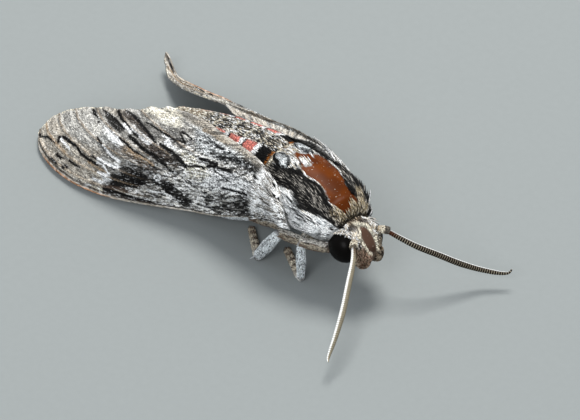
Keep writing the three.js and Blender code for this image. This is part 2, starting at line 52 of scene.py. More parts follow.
# [x, top z, bottom z, half width, z of the widest place]
THORAX_FRONT, THORAX_REAR = -2.3, -18.2
THORAX = {
    "keel": 1.3,
    "stations": np.array(
        [
            [THORAX_FRONT, 12.0, 7.2, 3.1, 9.8],
            [-3.4, 13.5, 6.6, 4.4, 10.1],
            [-5.6, 15.1, 5.9, 5.4, 10.5],
            [-8.4, 16.1, 5.2, 5.9, 10.8],
            [-11.4, 16.8, 4.9, 6.0, 11.0],
            [-14.4, 17.2, 5.1, 5.7, 11.2],
            [-16.6, 17.1, 5.7, 5.2, 11.4],
            [THORAX_REAR, 16.5, 6.6, 4.7, 11.6],
        ]
    ),
}
COLLAR = {"from": -2.6, "to": -4.9, "raise": 0.3, "ramp": 0.55, "lowest": -0.6, "full": 0.1}
TEGULA = {"x": -9.6, "angle": 0.2, "half_length": 5.6, "half_angle": 0.5, "raise": 0.55, "slope": 0.28}
ABDOMEN = {
    "keel": 1.0,
    "stations": np.array(
        [
            [-18.5, 16.6, 6.5, 4.6, 11.4],
            [-21.5, 16.4, 6.1, 5.0, 11.1],
            [-25.5, 15.4, 5.8, 5.0, 10.5],
            [-30.5, 14.0, 5.6, 4.6, 9.7],
            [-35.0, 12.4, 5.5, 3.8, 8.8],
            [-39.0, 10.9, 5.6, 2.85, 8.1],
            [-42.0, 9.6, 6.0, 1.75, 7.8],
            [-43.6, 8.5, 6.8, 0.75, 7.6],
        ]
    ),
}
ABDOMEN_SEGMENTS = 7
EYE = {"at": {"right": (-1.75, 2.65, 8.9), "left": (-2.0, 2.35, 8.2)}, "radii": (2.6, 2.15, 2.6)}
HEAD = {
    "keel": 1.0,
    "stations": np.array(
        [
            [2.0, 9.5, 7.1, 1.3, 8.4],
            [1.4, 10.3, 6.5, 2.1, 8.6],
            [0.5, 11.2, 6.1, 2.8, 8.9],
            [-0.5, 11.9, 6.0, 3.2, 9.2],
            [-2.0, 12.1, 6.4, 3.0, 9.6],
        ]
    ),
}
SOCKET = (0.1, 2.2, 10.9)
PALP = {
    "path": [(-1.6, 1.3, 6.8), (1.2, 1.35, 6.6), (2.3, 1.1, 8.9)],
    "radii": [(0, 0.5), (0.35, 0.86), (0.75, 0.69), (1, 0.35)],
}

# Wing edges, [x, distance from the midline, z].
WING_ROOT_FRONT = [(-9.0, 6.9, 10.0), (-11.6, 7.3, 9.8), (-15.2, 7.3, 8.6)]
WING_ROOT_INNER = [(-12.6, 5.4, 13.6), (-14.6, 5.2, 15.0), (-17.4, 4.7, 15.9), (-20.9, 4.35, 15.9)]
FOREWINGS = {
    "right": {
        "front": WING_ROOT_FRONT
        + [(-20.4, 7.5, 5.6), (-25.2, 8.1, 3.2), (-30.5, 9.3, 1.6), (-36.4, 12.5, 0.85), (-41.6, 15.4, 0.7)]
        + [(-47.3, 17.1, 0.65), (-52.5, 17.1, 0.65), (-57.4, 15.6, 0.65), (-60.1, 13.4, 0.7)],
        "outer": [(-60.1, 13.4, 0.7), (-58.7, 12.0, 3.6), (-55.2, 10.5, 6.7), (-51.3, 8.5, 8.3)]
        + [(-46.8, 6.4, 9.4), (-43.2, 4.3, 10.8), (-40.3, 2.65, 11.8)],
        "inner": WING_ROOT_INNER
        + [(-25.7, 3.8, 15.1), (-31.8, 3.0, 14.0), (-36.8, 2.6, 12.9), (-40.3, 2.65, 11.8)],
        "bow": 1.4,
        "curl": (0.0, 0.0, 0.0),
    },
    "left": {
        "front": WING_ROOT_FRONT
        + [(-20.4, 7.8, 5.6), (-25.2, 8.7, 3.2), (-30.5, 10.1, 1.6), (-36.2, 12.1, 1.0), (-41.2, 13.4, 0.8)]
        + [(-46.2, 13.7, 0.75), (-51.2, 12.5, 0.75), (-55.6, 11.7, 0.8), (-59.6, 11.7, 0.9)],
        "outer": [(-59.6, 11.7, 0.9), (-58.9, 10.8, 0.95), (-56.9, 9.8, 1.5), (-53.6, 8.5, 2.9)]
        + [(-49.8, 7.2, 4.7), (-44.6, 5.9, 7.3), (-39.3, 4.9, 9.8)],
        "inner": WING_ROOT_INNER
        + [(-26.2, 3.8, 14.9), (-31.4, 3.7, 13.4), (-35.4, 4.2, 11.8), (-39.3, 4.9, 9.8)],
        "bow": 1.3,
        "curl": (-0.4, 0.8, 2.0),
    },
}
HINDWING = {
    "front": [(-13.6, 5.3, 9.4), (-16.6, 6.0, 8.4), (-20.4, 6.4, 5.9), (-25.0, 7.0, 3.5), (-30.0, 8.0, 2.1)]
    + [(-35.0, 9.4, 1.8), (-39.5, 10.8, 2.0)],
    "inner": [(-15.0, 4.9, 12.2), (-18.2, 5.8, 11.6), (-22.0, 5.95, 11.0), (-27.0, 5.9, 10.2)]
    + [(-32.0, 5.6, 9.3)],
    "outer": [(-39.5, 10.8, 2.0), (-39.5, 9.2, 4.6), (-36.6, 7.1, 7.4), (-32.0, 5.6, 9.3)],
    "bow": 0.45,
    "curl": (0.0, 0.0, 0.0),
}
CURL_START, CURL_WIDTH = 0.93, 0.22
SWELL = {"at_root": 0.4, "full_from": 0.3}

# ---------- geometry ----------


def smooth(low, high, t):
    """Eases from 0 at low to 1 at high; low may be the larger one."""
    s = np.clip((np.asarray(t, float) - low) / (high - low), 0, 1)
    return s * s * (3 - 2 * s)


def mirror(side, points):
    """Points of the left side, brought to the given side."""
    return np.asarray(points, float) * (1, SIDES[side], 1)


def place(points):
    """Millimetres from the antenna sockets to metres in the shared frame."""
    return (np.asarray(points, float) + BODY_SHIFT) * MM


def curve(points, fine=60):
    """A centripetal Catmull-Rom curve, as a function of the share of its length."""
    p = np.asarray(points, float)
    ends = np.vstack([2 * p[0] - p[1], p, 2 * p[-1] - p[-2]])
    s = np.linspace(0, 1, fine, endpoint=False)[:, None]
    samples = []
    for a, b, c, d in zip(ends, ends[1:], ends[2:], ends[3:]):
        k0, k1, k2 = (math.sqrt(max(np.linalg.norm(q - p0), 1e-8)) for p0, q in ((a, b), (b, c), (c, d)))
        m0 = ((b - a) / k0 - (c - a) / (k0 + k1) + (c - b) / k1) * k1
        m1 = ((c - b) / k1 - (d - b) / (k1 + k2) + (d - c) / k2) * k1
        samples.append(b + m0 * s + (3 * (c - b) - 2 * m0 - m1) * s**2 + (2 * (b - c) + m0 + m1) * s**3)
    path = np.vstack(samples + [p[-1:]])
    length = np.concatenate([[0], np.cumsum(np.linalg.norm(np.diff(path, axis=0), axis=1))])
    share = length / length[-1]

    def at(t):
        return np.stack([np.interp(t, share, path[:, i]) for i in range(3)], -1)

    return at


def unit(v):
    return v / np.maximum(np.linalg.norm(v, axis=-1, keepdims=True), 1e-12)


def wing_surface(side, edges):
    """(u, v) -> point and outward normal; u runs root to tip, v front edge to inner edge."""
    front, inner, outer = (curve(mirror(side, edges[k])) for k in ("front", "inner", "outer"))
    corner = [front(1.0), inner(1.0)]
    curl = mirror(side, edges["curl"])

    def flat(u, v):
        us, vs = u[..., None], v[..., None]
        tip = corner[0] * (1 - vs) + corner[1] * vs
        along = front(u) * (1 - vs) + inner(u) * vs
        return along + us * (outer(v) - tip)

    def normal_at(u, v):
        step = 0.01
        across = flat(u, np.clip(v + step, 0, 1)) - flat(u, np.clip(v - step, 0, 1))
        along = flat(np.clip(u + step, 0, 1), v) - flat(np.clip(u - step, 0, 1), v)
        return unit(np.cross(along, across)) * SIDES[side]

    def at(u, v):
        u, v = np.broadcast_arrays(np.asarray(u, float), np.asarray(v, float))
        normal = normal_at(u, v)
        fullness = SWELL["at_root"] + (1 - SWELL["at_root"]) * smooth(0, SWELL["full_from"], u)
        swell = edges["bow"] * 4 * v * (1 - v) * fullness * (1 - u**3)
        turn = smooth(CURL_START, 1, u) * (1 - smooth(0, CURL_WIDTH, v))
        return flat(u, v) + normal * swell[..., None] + curl * turn[..., None], normal

    return at


def station_at(stations, x):
    """Smooth interpolation of a body table at the given places along it."""
    x = np.asarray(x, float)
    n = len(stations)
    i = np.clip(np.searchsorted(-stations[:, 0], -x, side="right") - 1, 0, n - 2)
    rows = [stations[np.clip(i + k, 0, n - 1)] for k in (-1, 0, 1, 2)]
    t = np.clip((x - rows[1][..., 0]) / (rows[2][..., 0] - rows[1][..., 0]), 0, 1)[..., None]
    a, b, c, d = (row[..., 1:] for row in rows)
    s0, s1 = (c - a) / 2, (d - b) / 2
    value = (
        b * (2 * t**3 - 3 * t**2 + 1)
        + s0 * (t**3 - 2 * t**2 + t)
        + c * (3 * t**2 - 2 * t**3)
        + s1 * (t**3 - t**2)
    )
    return tuple(value[..., k] for k in range(4))


def axis_point(body, x):
    """The middle of a body at each place along it, at the height of its widest place."""
    return np.stack([x, 0 * x, station_at(body["stations"], x)[3]], -1)


def body_point(body, x, angle, lift=0.0):
    """A point of a body's surface: angle 0 is the left flank, a quarter turn up is the back."""
    top, bottom, half_width, waist = station_at(body["stations"], x)
    c, s = np.cos(angle), np.sin(angle)
    upper = s > 0
    half = np.where(upper, top - waist, waist - bottom)
    power = np.where(upper, 1.0, body["keel"])
    y = (half_width + lift) * np.sign(c) * np.abs(c) ** power
    z = waist + (half + lift) * np.sign(s) * np.abs(s) ** power
    return np.stack(np.broadcast_arrays(x, y, z), -1)


def level(x, angle):
    """No raise anywhere, for a body without one of its own."""
    return 0 * x


def flank_of(angle):
    """The angle above the flank, the same on both sides."""
    return np.arctan2(np.sin(angle), np.abs(np.cos(angle)))


def thorax_raise(x, angle):
    """How far the collar and the shoulder lappets stand out from the thorax, in mm."""
    flank = flank_of(angle)
    along = (x - TEGULA["x"]) / TEGULA["half_length"]
    across = (flank - TEGULA["angle"]) / TEGULA["half_angle"]
    lappet = TEGULA["raise"] * (1 - smooth(1 - TEGULA["slope"], 1, np.hypot(along, across)))
    rise = smooth(-COLLAR["from"], -COLLAR["from"] + COLLAR["ramp"], -x)
    fall = 1 - smooth(-COLLAR["to"], -COLLAR["to"] + COLLAR["ramp"], -x)
    return lappet + COLLAR["raise"] * rise * fall * smooth(COLLAR["lowest"], COLLAR["full"], flank)


# ---------- colours: sRGB hex values, turned linear ----------


def linear(hex_colour):
    """An sRGB hex value as linear red, green and blue."""
    parts = np.array([int(hex_colour[i : i + 2], 16) for i in (0, 2, 4)]) / 255
    return np.where(parts <= 0.04045, parts / 12.92, ((parts + 0.055) / 1.055) ** 2.4)


TINTS = {
    name: linear(value)
    for name, value in {
        "wing_grey": "918f8a",
        "beige": "aca497",
        "blue_grey": "a9aeb0",
        "pale": "d6d5d0",
        "cream": "e0dac8",
        "white": "e9ebec",
        "tan": "94826c",
        "orange": "ad6722",
        "brown": "4b3f36",
        "dark_brown": "342d28",
        "dark": "363636",
        "black": "0c0b0b",
        "soot": "2c2b2a",
        "hair_grey": "96928b",
        "hair_beige": "b0a796",
        "hair_white": "eef0f0",
        "collar_beige": "8d8066",
        "belly": "b3ada4",
        "pink": "cc766d",
        "cuticle": "592903",
        "cuticle_dark": "3a1805",
        "frons": "4a372d",
        "head_beige": "94846f",
        "head_pink": "b3927f",
        "leg_blue": "dde3e6",
        "leg_grey": "95989a",
        "joint_brown": "4a2f22",
        "ring_cream": "d6ccb4",
        "ring_brown": "140d09",
        "ring_tan": "9c9070",
        "head_light": "c3b7a3",
        "eye_black": "0a0807",
        "board": "808585",
    }.items()
}


def tint(name, shape=()):
    """An array of the given shape, all in one tint."""
    return np.broadcast_to(TINTS[name], (*shape, 3)).copy()


def blend(colours, name, weight):
    """The colours, taken towards a tint by its weight from 0 to 1."""
    return colours + (TINTS[name] - colours) * np.clip(weight, 0, 1)[..., None]


# ---------- random fields ----------


def scatter(cells, seed):
    """A repeatable random number from 0 to 1 for each cell of a whole-number grid."""
    mixed = np.full(cells.shape[:-1], (seed * 374761393 + 668265263) & 0xFFFFFFFF, np.int64)
    for k, prime in zip(range(cells.shape[-1]), (73856093, 19349663, 83492791)):
        mixed = (mixed ^ (cells[..., k] * prime)) & 0xFFFFFFFF
        mixed = (mixed * 1274126177) & 0xFFFFFFFF
        mixed ^= mixed >> 15
    return mixed / 2**32


def noise(points, cell, seed):
    """Smooth random values from 0 to 1; cell is the size of a lump along each axis."""
    q = np.asarray(points, float) / np.asarray(cell, float)
    low = np.floor(q).astype(np.int64)
    f = q - low
    f = f * f * (3 - 2 * f)
    total = 0.0
    for corner in np.ndindex(*(2,) * q.shape[-1]):
        share = np.prod(np.where(np.array(corner) == 1, f, 1 - f), axis=-1)
        total = total + share * scatter(low + corner, seed)
    return total


# ---------- making meshes and materials ----------


def new_piece(name, points, faces, material):
    """A mesh from points in millimetres and faces that all have the same number of corners."""
    faces = np.asarray(faces, np.int32)
    points = np.maximum(points, (-np.inf, -np.inf, 0.0))  # nothing reaches below the floor
    mesh = bpy.data.meshes.new(name)
    mesh.vertices.add(len(points))
    mesh.vertices.foreach_set("co", place(points).astype(np.float32).ravel())
    mesh.loops.add(faces.size)
    mesh.loops.foreach_set("vertex_index", faces.ravel())
    mesh.polygons.add(len(faces))
    mesh.polygons.foreach_set("loop_start", np.arange(0, faces.size, faces.shape[1], dtype=np.int32))
    mesh.polygons.foreach_set("use_smooth", np.full(len(faces), True))
    mesh.update()
    mesh.validate()
    piece = bpy.data.objects.new(name, mesh)
    bpy.context.scene.collection.objects.link(piece)
    return dress(piece, material)


def dress(piece, material):
    """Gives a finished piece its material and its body."""
    piece.data.materials.clear()
    piece.data.materials.append(material)
    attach(piece, "root")
    return piece


def set_colours(piece, colours):
    """The piece's markings, one linear colour for each point."""
    values = np.ones((len(colours), 4), np.float32)
    values[:, :3] = colours
    layer = piece.data.color_attributes.new("Markings", "FLOAT_COLOR", "POINT")
    layer.data.foreach_set("color", values.ravel())


def set_values(piece, values, name):
    """One number for each point, under the given name."""
    layer = piece.data.attributes.new(name, "FLOAT", "POINT")
    layer.data.foreach_set("value", np.asarray(values, np.float32))


def set_map(piece, name, at_points):
    """A UV map from one place per point."""
    layer = piece.data.uv_layers.new(name=name)
    corners = np.zeros(len(piece.data.loops), np.int32)
    piece.data.loops.foreach_get("vertex_index", corners)
    layer.data.foreach_set("uv", np.asarray(at_points, np.float32)[corners].ravel())


def points_of(piece):
    """The piece's points in millimetres from the antenna sockets."""
    co = np.zeros(len(piece.data.vertices) * 3, np.float32)
    piece.data.vertices.foreach_get("co", co)
    return co.reshape(-1, 3).astype(float) / MM - BODY_SHIFT


def add(tree, kind, settings=(), inputs=()):
    """Adds a node with its settings; an input given a socket is linked, and any other gets the value."""
    node = tree.nodes.new(kind)
    for key, value in dict(settings).items():
        setattr(node, key, value)
    for key, value in dict(inputs).items():
        if isinstance(value, bpy.types.NodeSocket):
            tree.links.new(value, node.inputs[key])
        else:
            node.inputs[key].default_value = value
    return node


def new_material(name, **surface):
    """A principled material; surface gives the shader's own values by name."""
    material = bpy.data.materials.new(name)
    material.use_nodes = True
    tree = material.node_tree
    tree.nodes.clear()
    shader = add(tree, "ShaderNodeBsdfPrincipled")
    for key, value in surface.items():
        shader.inputs[key.replace("_", " ")].default_value = value
    add(tree, "ShaderNodeOutputMaterial", inputs={"Surface": shader.outputs["BSDF"]})
    return material, tree, shader


def rgba(name):
    """A tint as a shader's colour value."""
    return (*TINTS[name], 1.0)


# ---------- finishes ----------

COLOUR = {"data_type": "RGBA"}
TIMES = {"data_type": "RGBA", "blend_type": "MULTIPLY", "clamp_result": True}
A, B, MIXED = 6, 7, 2  # a colour Mix node's inputs and output


def scaled_membrane(name, scale_mm, mottle):
    """Wing membrane under flat overlapping scales: dull, with single white and black scales among the rest.

    The scales are drawn about twice as large as life, so that they show; their long axis follows the veins.
    """
    material, tree, shader = new_material(name, Roughness=0.75, Specular_IOR_Level=0.15)
    markings = add(tree, "ShaderNodeAttribute", {"attribute_name": "Markings"})
    lie = add(tree, "ShaderNodeUVMap", {"uv_map": "Lie"})
    grid = add(
        tree,
        "ShaderNodeMapping",
        inputs={"Vector": lie.outputs["UV"], "Scale": (10 / scale_mm[0], 10 / scale_mm[1], 1.0)},
    )
    cells = add(
        tree,
        "ShaderNodeTexVoronoi",
        {"voronoi_dimensions": "2D"},
        {"Vector": grid.outputs["Vector"], "Scale": 1.0, "Randomness": 0.9},
    )
    chance = add(tree, "ShaderNodeSeparateColor", inputs={"Color": cells.outputs["Color"]})
    patches = add(
        tree,
        "ShaderNodeTexNoise",
        {"noise_dimensions": "2D"},
        {"Vector": grid.outputs["Vector"], "Scale": 0.16, "Detail": 2.0},
    )
    vary = add(
        tree,
        "ShaderNodeMapRange",
        inputs={"Value": chance.outputs["Green"], "To Min": 0.62, "To Max": 1.38},
    )
    shaded = add(
        tree,
        "ShaderNodeMix",
        TIMES,
        {0: 1.0, A: markings.outputs["Color"], B: vary.outputs["Result"]},
    )
    shift = add(
        tree, "ShaderNodeMath", {"operation": "MULTIPLY_ADD"}, {0: patches.outputs["Fac"], 1: 0.7, 2: -0.35}
    )
    luck = add(
        tree, "ShaderNodeMath", {"operation": "ADD"}, {0: chance.outputs["Red"], 1: shift.outputs["Value"]}
    )
    pale = add(
        tree,
        "ShaderNodeMapRange",
        inputs={
            "Value": luck.outputs["Value"],
            "From Min": 1.0 - 0.32 * mottle,
            "From Max": 1.05 - 0.32 * mottle,
            "To Max": 0.3,
        },
    )
    dark = add(
        tree,
        "ShaderNodeMapRange",
        inputs={
            "Value": luck.outputs["Value"],
            "From Min": 0.42 * mottle,
            "From Max": 0.42 * mottle - 0.05,
            "To Max": 0.5,
        },
    )
    with_pale = add(
        tree,
        "ShaderNodeMix",
        COLOUR,
        {0: pale.outputs["Result"], A: shaded.outputs[MIXED], B: rgba("white")},
    )
    peppered = add(
        tree,
        "ShaderNodeMix",
        COLOUR,
        {0: dark.outputs["Result"], A: with_pale.outputs[MIXED], B: rgba("black")},
    )
    bump = add(
        tree,
        "ShaderNodeBump",
        inputs={"Height": cells.outputs["Distance"], "Strength": 0.4, "Distance": 0.05 * MM},
    )
    tree.links.new(peppered.outputs[MIXED], shader.inputs["Base Color"])
    tree.links.new(bump.outputs["Normal"], shader.inputs["Normal"])
    return material


def hair_scales(name, gloss=0.55, pepper=0.5):
    """Hair-like scales: fine, dry, with a slight silk along the strand; each tuft's colour is its own.

    Pepper is how much darker and lighter the single scales of a tuft are than the tuft.
    """
    material, tree, shader = new_material(name, Roughness=gloss, Specular_IOR_Level=0.12)
    markings = add(tree, "ShaderNodeAttribute", {"attribute_name": "Markings"})
    place_in = add(tree, "ShaderNodeTexCoord")
    grain = add(
        tree,
        "ShaderNodeTexNoise",
        inputs={"Vector": place_in.outputs["Object"], "Scale": 4600.0, "Detail": 1.0},
    )
    vary = add(
        tree,
        "ShaderNodeMapRange",
        inputs={
            "Value": grain.outputs["Fac"],
            "From Min": 0.36,
            "From Max": 0.64,
            "To Min": 1.0 - pepper,
            "To Max": 1.0 + pepper,
        },
    )
    shaded = add(
        tree,
        "ShaderNodeMix",
        TIMES,
        {0: 1.0, A: markings.outputs["Color"], B: vary.outputs["Result"]},
    )
    tree.links.new(shaded.outputs[MIXED], shader.inputs["Base Color"])
    return material


def skin_and_cuticle():
    """Skin under the coat, dark with painted shade; where that is rubbed off, polished brown cuticle with
    cracks and a cream speckle, partly dusting and partly painted glints.
    """
    material, tree, shader = new_material("rubbed_cuticle", Specular_IOR_Level=0.05)
    markings = add(tree, "ShaderNodeAttribute", {"attribute_name": "Markings"})
    bare = add(tree, "ShaderNodeAttribute", {"attribute_name": "Bare"})
    place_in = add(tree, "ShaderNodeTexCoord")
    clouds = add(
        tree,
        "ShaderNodeTexNoise",
        inputs={"Vector": place_in.outputs["Object"], "Scale": 420.0, "Detail": 4.0},
    )
    cracks = add(
        tree,
        "ShaderNodeTexVoronoi",
        {"feature": "DISTANCE_TO_EDGE"},
        {"Vector": place_in.outputs["Object"], "Scale": 1300.0},
    )
    vary = add(
        tree,
        "ShaderNodeMapRange",
        inputs={"Value": clouds.outputs["Fac"], "To Min": 0.75, "To Max": 1.25},
    )
    shaded = add(
        tree,
        "ShaderNodeMix",
        TIMES,
        {0: 1.0, A: markings.outputs["Color"], B: vary.outputs["Result"]},
    )
    # cream specks on the skin and cuticle: partly dusting, partly painted glints
    dust_glints = add(
        tree,
        "ShaderNodeTexNoise",
        inputs={"Vector": place_in.outputs["Object"], "Scale": 4200.0, "Detail": 1.0},
    )
    specks = add(
        tree,
        "ShaderNodeMapRange",
        inputs={"Value": dust_glints.outputs["Fac"], "From Min": 0.71, "From Max": 0.77, "To Max": 0.6},
    )
    with_dust_glints = add(
        tree,
        "ShaderNodeMix",
        COLOUR,
        {0: specks.outputs["Result"], A: shaded.outputs[MIXED], B: rgba("cream")},
    )
    gloss = add(
        tree,
        "ShaderNodeMapRange",
        inputs={"Value": bare.outputs["Fac"], "To Min": 0.85, "To Max": 0.4},
    )
    bump = add(
        tree,
        "ShaderNodeBump",
        inputs={"Height": cracks.outputs["Distance"], "Strength": 0.25, "Distance": 0.03 * MM},
    )
    tree.links.new(with_dust_glints.outputs[MIXED], shader.inputs["Base Color"])
    tree.links.new(gloss.outputs["Result"], shader.inputs["Roughness"])
    tree.links.new(bump.outputs["Normal"], shader.inputs["Normal"])
    return material


def compound_eye():
    """Thousands of tiny lenses, drawn larger than life: black, darker towards each lens's edge as painted
    shade, with a soft gloss that they blur.
    """
    material, tree, shader = new_material("compound_eye", Roughness=0.3, Specular_IOR_Level=0.05)
    place_in = add(tree, "ShaderNodeTexCoord")
    facets = add(
        tree,
        "ShaderNodeTexVoronoi",
        inputs={"Vector": place_in.outputs["Object"], "Scale": 7000.0, "Randomness": 0.3},
    )
    # each lens darker towards its edge: painted shade in the creases between lenses
    depth = add(
        tree,
        "ShaderNodeMapRange",
        inputs={"Value": facets.outputs["Distance"], "To Min": 1.0, "To Max": 0.4},
    )
    dark = add(
        tree,
        "ShaderNodeMix",
        TIMES,
        {0: 1.0, A: rgba("eye_black"), B: depth.outputs["Result"]},
    )
    bump = add(
        tree,
        "ShaderNodeBump",
        inputs={"Height": facets.outputs["Distance"], "Strength": 0.3, "Distance": 0.02 * MM},
    )
    tree.links.new(dark.outputs[MIXED], shader.inputs["Base Color"])
    tree.links.new(bump.outputs["Normal"], shader.inputs["Normal"])
    return material


def claw_horn():
    """Dark brown horn, a little polished."""
    return new_material("claw_horn", Base_Color=rgba("dark_brown"), Roughness=0.4, Specular_IOR_Level=0.4)[0]


def studio_floor():
    """Pale matt board."""
    material, tree, shader = new_material("pale_board", Roughness=0.9, Specular_IOR_Level=0.2)
    place_in = add(tree, "ShaderNodeTexCoord")
    fibres = add(
        tree,
        "ShaderNodeTexNoise",
        inputs={"Vector": place_in.outputs["Object"], "Scale": 900.0, "Detail": 3.0},
    )
    tone = add(
        tree,
        "ShaderNodeMapRange",
        inputs={"Value": fibres.outputs["Fac"], "To Min": 0.97, "To Max": 1.03},
    )
    shaded = add(tree, "ShaderNodeMix", TIMES, {0: 1.0, A: rgba("board"), B: tone.outputs["Result"]})
    tree.links.new(shaded.outputs[MIXED], shader.inputs["Base Color"])
    return material


COAT = hair_scales("hair_scales")
SKIN = skin_and_cuticle()
WING_UPPER = scaled_membrane("forewing_scales", (0.34, 0.14), 0.5)
WING_TUFTS = hair_scales("wing_scales", 0.7, 0.55)
WING_HIND = scaled_membrane("hindwing_scales", (0.30, 0.16), 0.3)
EYE_GLOSS = compound_eye()
ANTENNA_SCALES = hair_scales("antenna_scales", 0.7, 0.15)
LEG_SCALES = hair_scales("leg_scales", 0.6, 0.3)
HORN = claw_horn()

# ---------- markings of the forewing ----------

# Places are shares of the wing: (along from root to tip, across from front edge to inner edge). Most
# were picked by eye and turned into these shares by a helper program.
# Patches: tint, strength, width of the soft edge in mm, outline.
# Strokes and dashes: tint, width at each end in mm, line.
PATCHES = [
    ("beige", 0.75, 1.6, [(1, 0), (1, 0.14), (1, 0.3), (1, 0.44), (0.89, 0.48), (0.79, 0.33),
        (0.69, 0.18), (0.68, 0.01), (0.77, 0), (0.88, 0)]),
    ("blue_grey", 0.4, 1.2, [(1, 0.26), (0.99, 0.46), (0.88, 0.5), (0.8, 0.45), (0.78, 0.32),
        (0.82, 0.26), (0.91, 0.23), (0.98, 0.19)]),
    ("pale", 0.2, 0.8, [(0.95, 0.38), (0.95, 0.46), (0.86, 0.48), (0.79, 0.47), (0.76, 0.39),
        (0.8, 0.36), (0.87, 0.35)]),
    ("blue_grey", 0.75, 1.6, [(0.7, 0.91), (0.61, 0.97), (0.41, 1), (0.23, 1), (0.19, 0.97), (0.3, 0.82),
        (0.44, 0.73), (0.55, 0.75)]),
    ("black", 0.72, 1.2, [(0.45, 0.85), (0.31, 0.94), (0.17, 1), (0.1, 1), (0.18, 0.81), (0.31, 0.77),
        (0.41, 0.74)]),
    ("white", 0.9, 1.2, [(0.5, 0.49), (0.45, 0.61), (0.33, 0.64), (0.22, 0.68), (0.12, 0.63),
        (0.12, 0.41), (0.22, 0.37), (0.34, 0.35), (0.42, 0.33), (0.47, 0.39)]),
    ("cream", 0.8, 0.7, [(0.51, 0.53), (0.48, 0.61), (0.42, 0.62), (0.38, 0.52), (0.41, 0.39),
        (0.46, 0.38)]),
    ("dark", 0.5, 1.4, [(0.4, 0.23), (0.34, 0.35), (0.21, 0.31), (0.09, 0.43), (0.05, 0.29), (0.11, 0),
        (0.23, 0), (0.35, 0.01), (0.39, 0.08)]),
    ("dark", 0.6, 1.0, [(0.2, 0.3), (0.12, 0.4), (0.06, 0.35), (0.08, 0.1), (0.14, 0), (0.2, 0)]),
    ("pale", 0.7, 1, [(0.44, 0.4), (0.37, 0.34), (0.38, 0.13), (0.32, 0.05), (0.38, 0.04), (0.43, 0.14)]),
    ("brown", 0.85, 0.7, [(0.77, 0.56), (0.73, 0.6), (0.67, 0.6), (0.6, 0.58), (0.53, 0.53),
        (0.53, 0.47), (0.59, 0.48), (0.65, 0.5), (0.71, 0.52)]),
    ("brown", 0.6, 0.9, [(0.79, 0.43), (0.73, 0.45), (0.67, 0.42), (0.6, 0.41), (0.54, 0.34),
        (0.6, 0.33), (0.67, 0.36), (0.74, 0.38)]),
    ("tan", 0.55, 0.8, [(0.74, 0.44), (0.68, 0.44), (0.62, 0.43), (0.62, 0.39), (0.67, 0.38), (0.72, 0.39)]),
    ("dark_brown", 0.6, 1.2, [(0.68, 0.26), (0.64, 0.35), (0.58, 0.38), (0.49, 0.31), (0.49, 0.2),
        (0.57, 0.21), (0.64, 0.2)]),
    ("cream", 0.6, 1, [(1, 0.78), (1, 0.88), (0.99, 1), (0.85, 0.94), (0.74, 0.84), (0.81, 0.81),
        (0.93, 0.8)]),
    ("beige", 0.5, 0.8, [(1, 0.52), (1, 0.68), (0.98, 0.7), (0.94, 0.59), (0.95, 0.51)]),
    ("black", 0.92, 0.55, [(0.67, 0.12), (0.67, 0.18), (0.65, 0.24), (0.63, 0.28), (0.6, 0.28),
        (0.57, 0.25), (0.57, 0.18), (0.59, 0.13), (0.62, 0.09), (0.65, 0.07)]),
    ("black", 0.9, 0.5, [(0.55, 0.27), (0.52, 0.29), (0.48, 0.27), (0.44, 0.2), (0.39, 0.1),
        (0.41, 0.05), (0.44, 0.06), (0.47, 0.12), (0.51, 0.19), (0.53, 0.22)]),
    ("black", 0.75, 0.6, [(0.67, 0.06), (0.64, 0.07), (0.6, 0.06), (0.56, 0.05), (0.53, 0.03), (0.54, 0),
        (0.58, 0.01), (0.63, 0.03), (0.66, 0.03)]),
    ("brown", 0.8, 0.5, [(0.99, 0.65), (0.98, 0.69), (0.92, 0.69), (0.83, 0.68), (0.76, 0.65),
        (0.71, 0.62), (0.73, 0.6), (0.79, 0.62), (0.84, 0.62), (0.91, 0.63)]),
    ("black", 0.8, 0.45, [(0.98, 0.52), (0.96, 0.55), (0.9, 0.56), (0.83, 0.54), (0.82, 0.51),
        (0.86, 0.5), (0.92, 0.51)]),
    ("white", 0.9, 0.4, [(0.86, 0.61), (0.84, 0.63), (0.78, 0.61), (0.73, 0.61), (0.7, 0.6), (0.7, 0.56),
        (0.74, 0.56), (0.79, 0.57)]),
    ("white", 0.85, 0.45, [(0.87, 0.45), (0.85, 0.47), (0.81, 0.48), (0.75, 0.45), (0.74, 0.41),
        (0.77, 0.4), (0.81, 0.42)]),
    ("white", 0.9, 0.35, [(0.76, 0.73), (0.71, 0.73), (0.67, 0.7), (0.62, 0.65), (0.65, 0.63),
        (0.68, 0.65), (0.7, 0.69)]),
    ("cream", 0.95, 0.4, [(0.6, 0.66), (0.57, 0.66), (0.52, 0.67), (0.49, 0.63), (0.49, 0.55),
        (0.54, 0.57)]),
    ("white", 0.9, 0.4, [(0.43, 0.63), (0.38, 0.65), (0.33, 0.67), (0.27, 0.7), (0.27, 0.65),
        (0.32, 0.58), (0.37, 0.57), (0.41, 0.57)]),
    ("white", 0.85, 0.5, [(0.7, 0.96), (0.68, 1), (0.62, 1), (0.6, 0.97), (0.63, 0.94)]),
    ("white", 0.9, 0.35, [(0.69, 0.14), (0.68, 0.16), (0.66, 0.13), (0.67, 0.09), (0.68, 0.1)]),
    ("white", 0.85, 0.35, [(0.73, 0.03), (0.71, 0.04), (0.71, 0.02), (0.72, 0.02)]),
    ("cream", 0.9, 0.35, [(0.7, 0.04), (0.67, 0.04), (0.66, 0.01), (0.69, 0.02)]),
    ("white", 0.8, 0.4, [(0.7, 0.28), (0.68, 0.29), (0.67, 0.24), (0.68, 0.24)]),
]
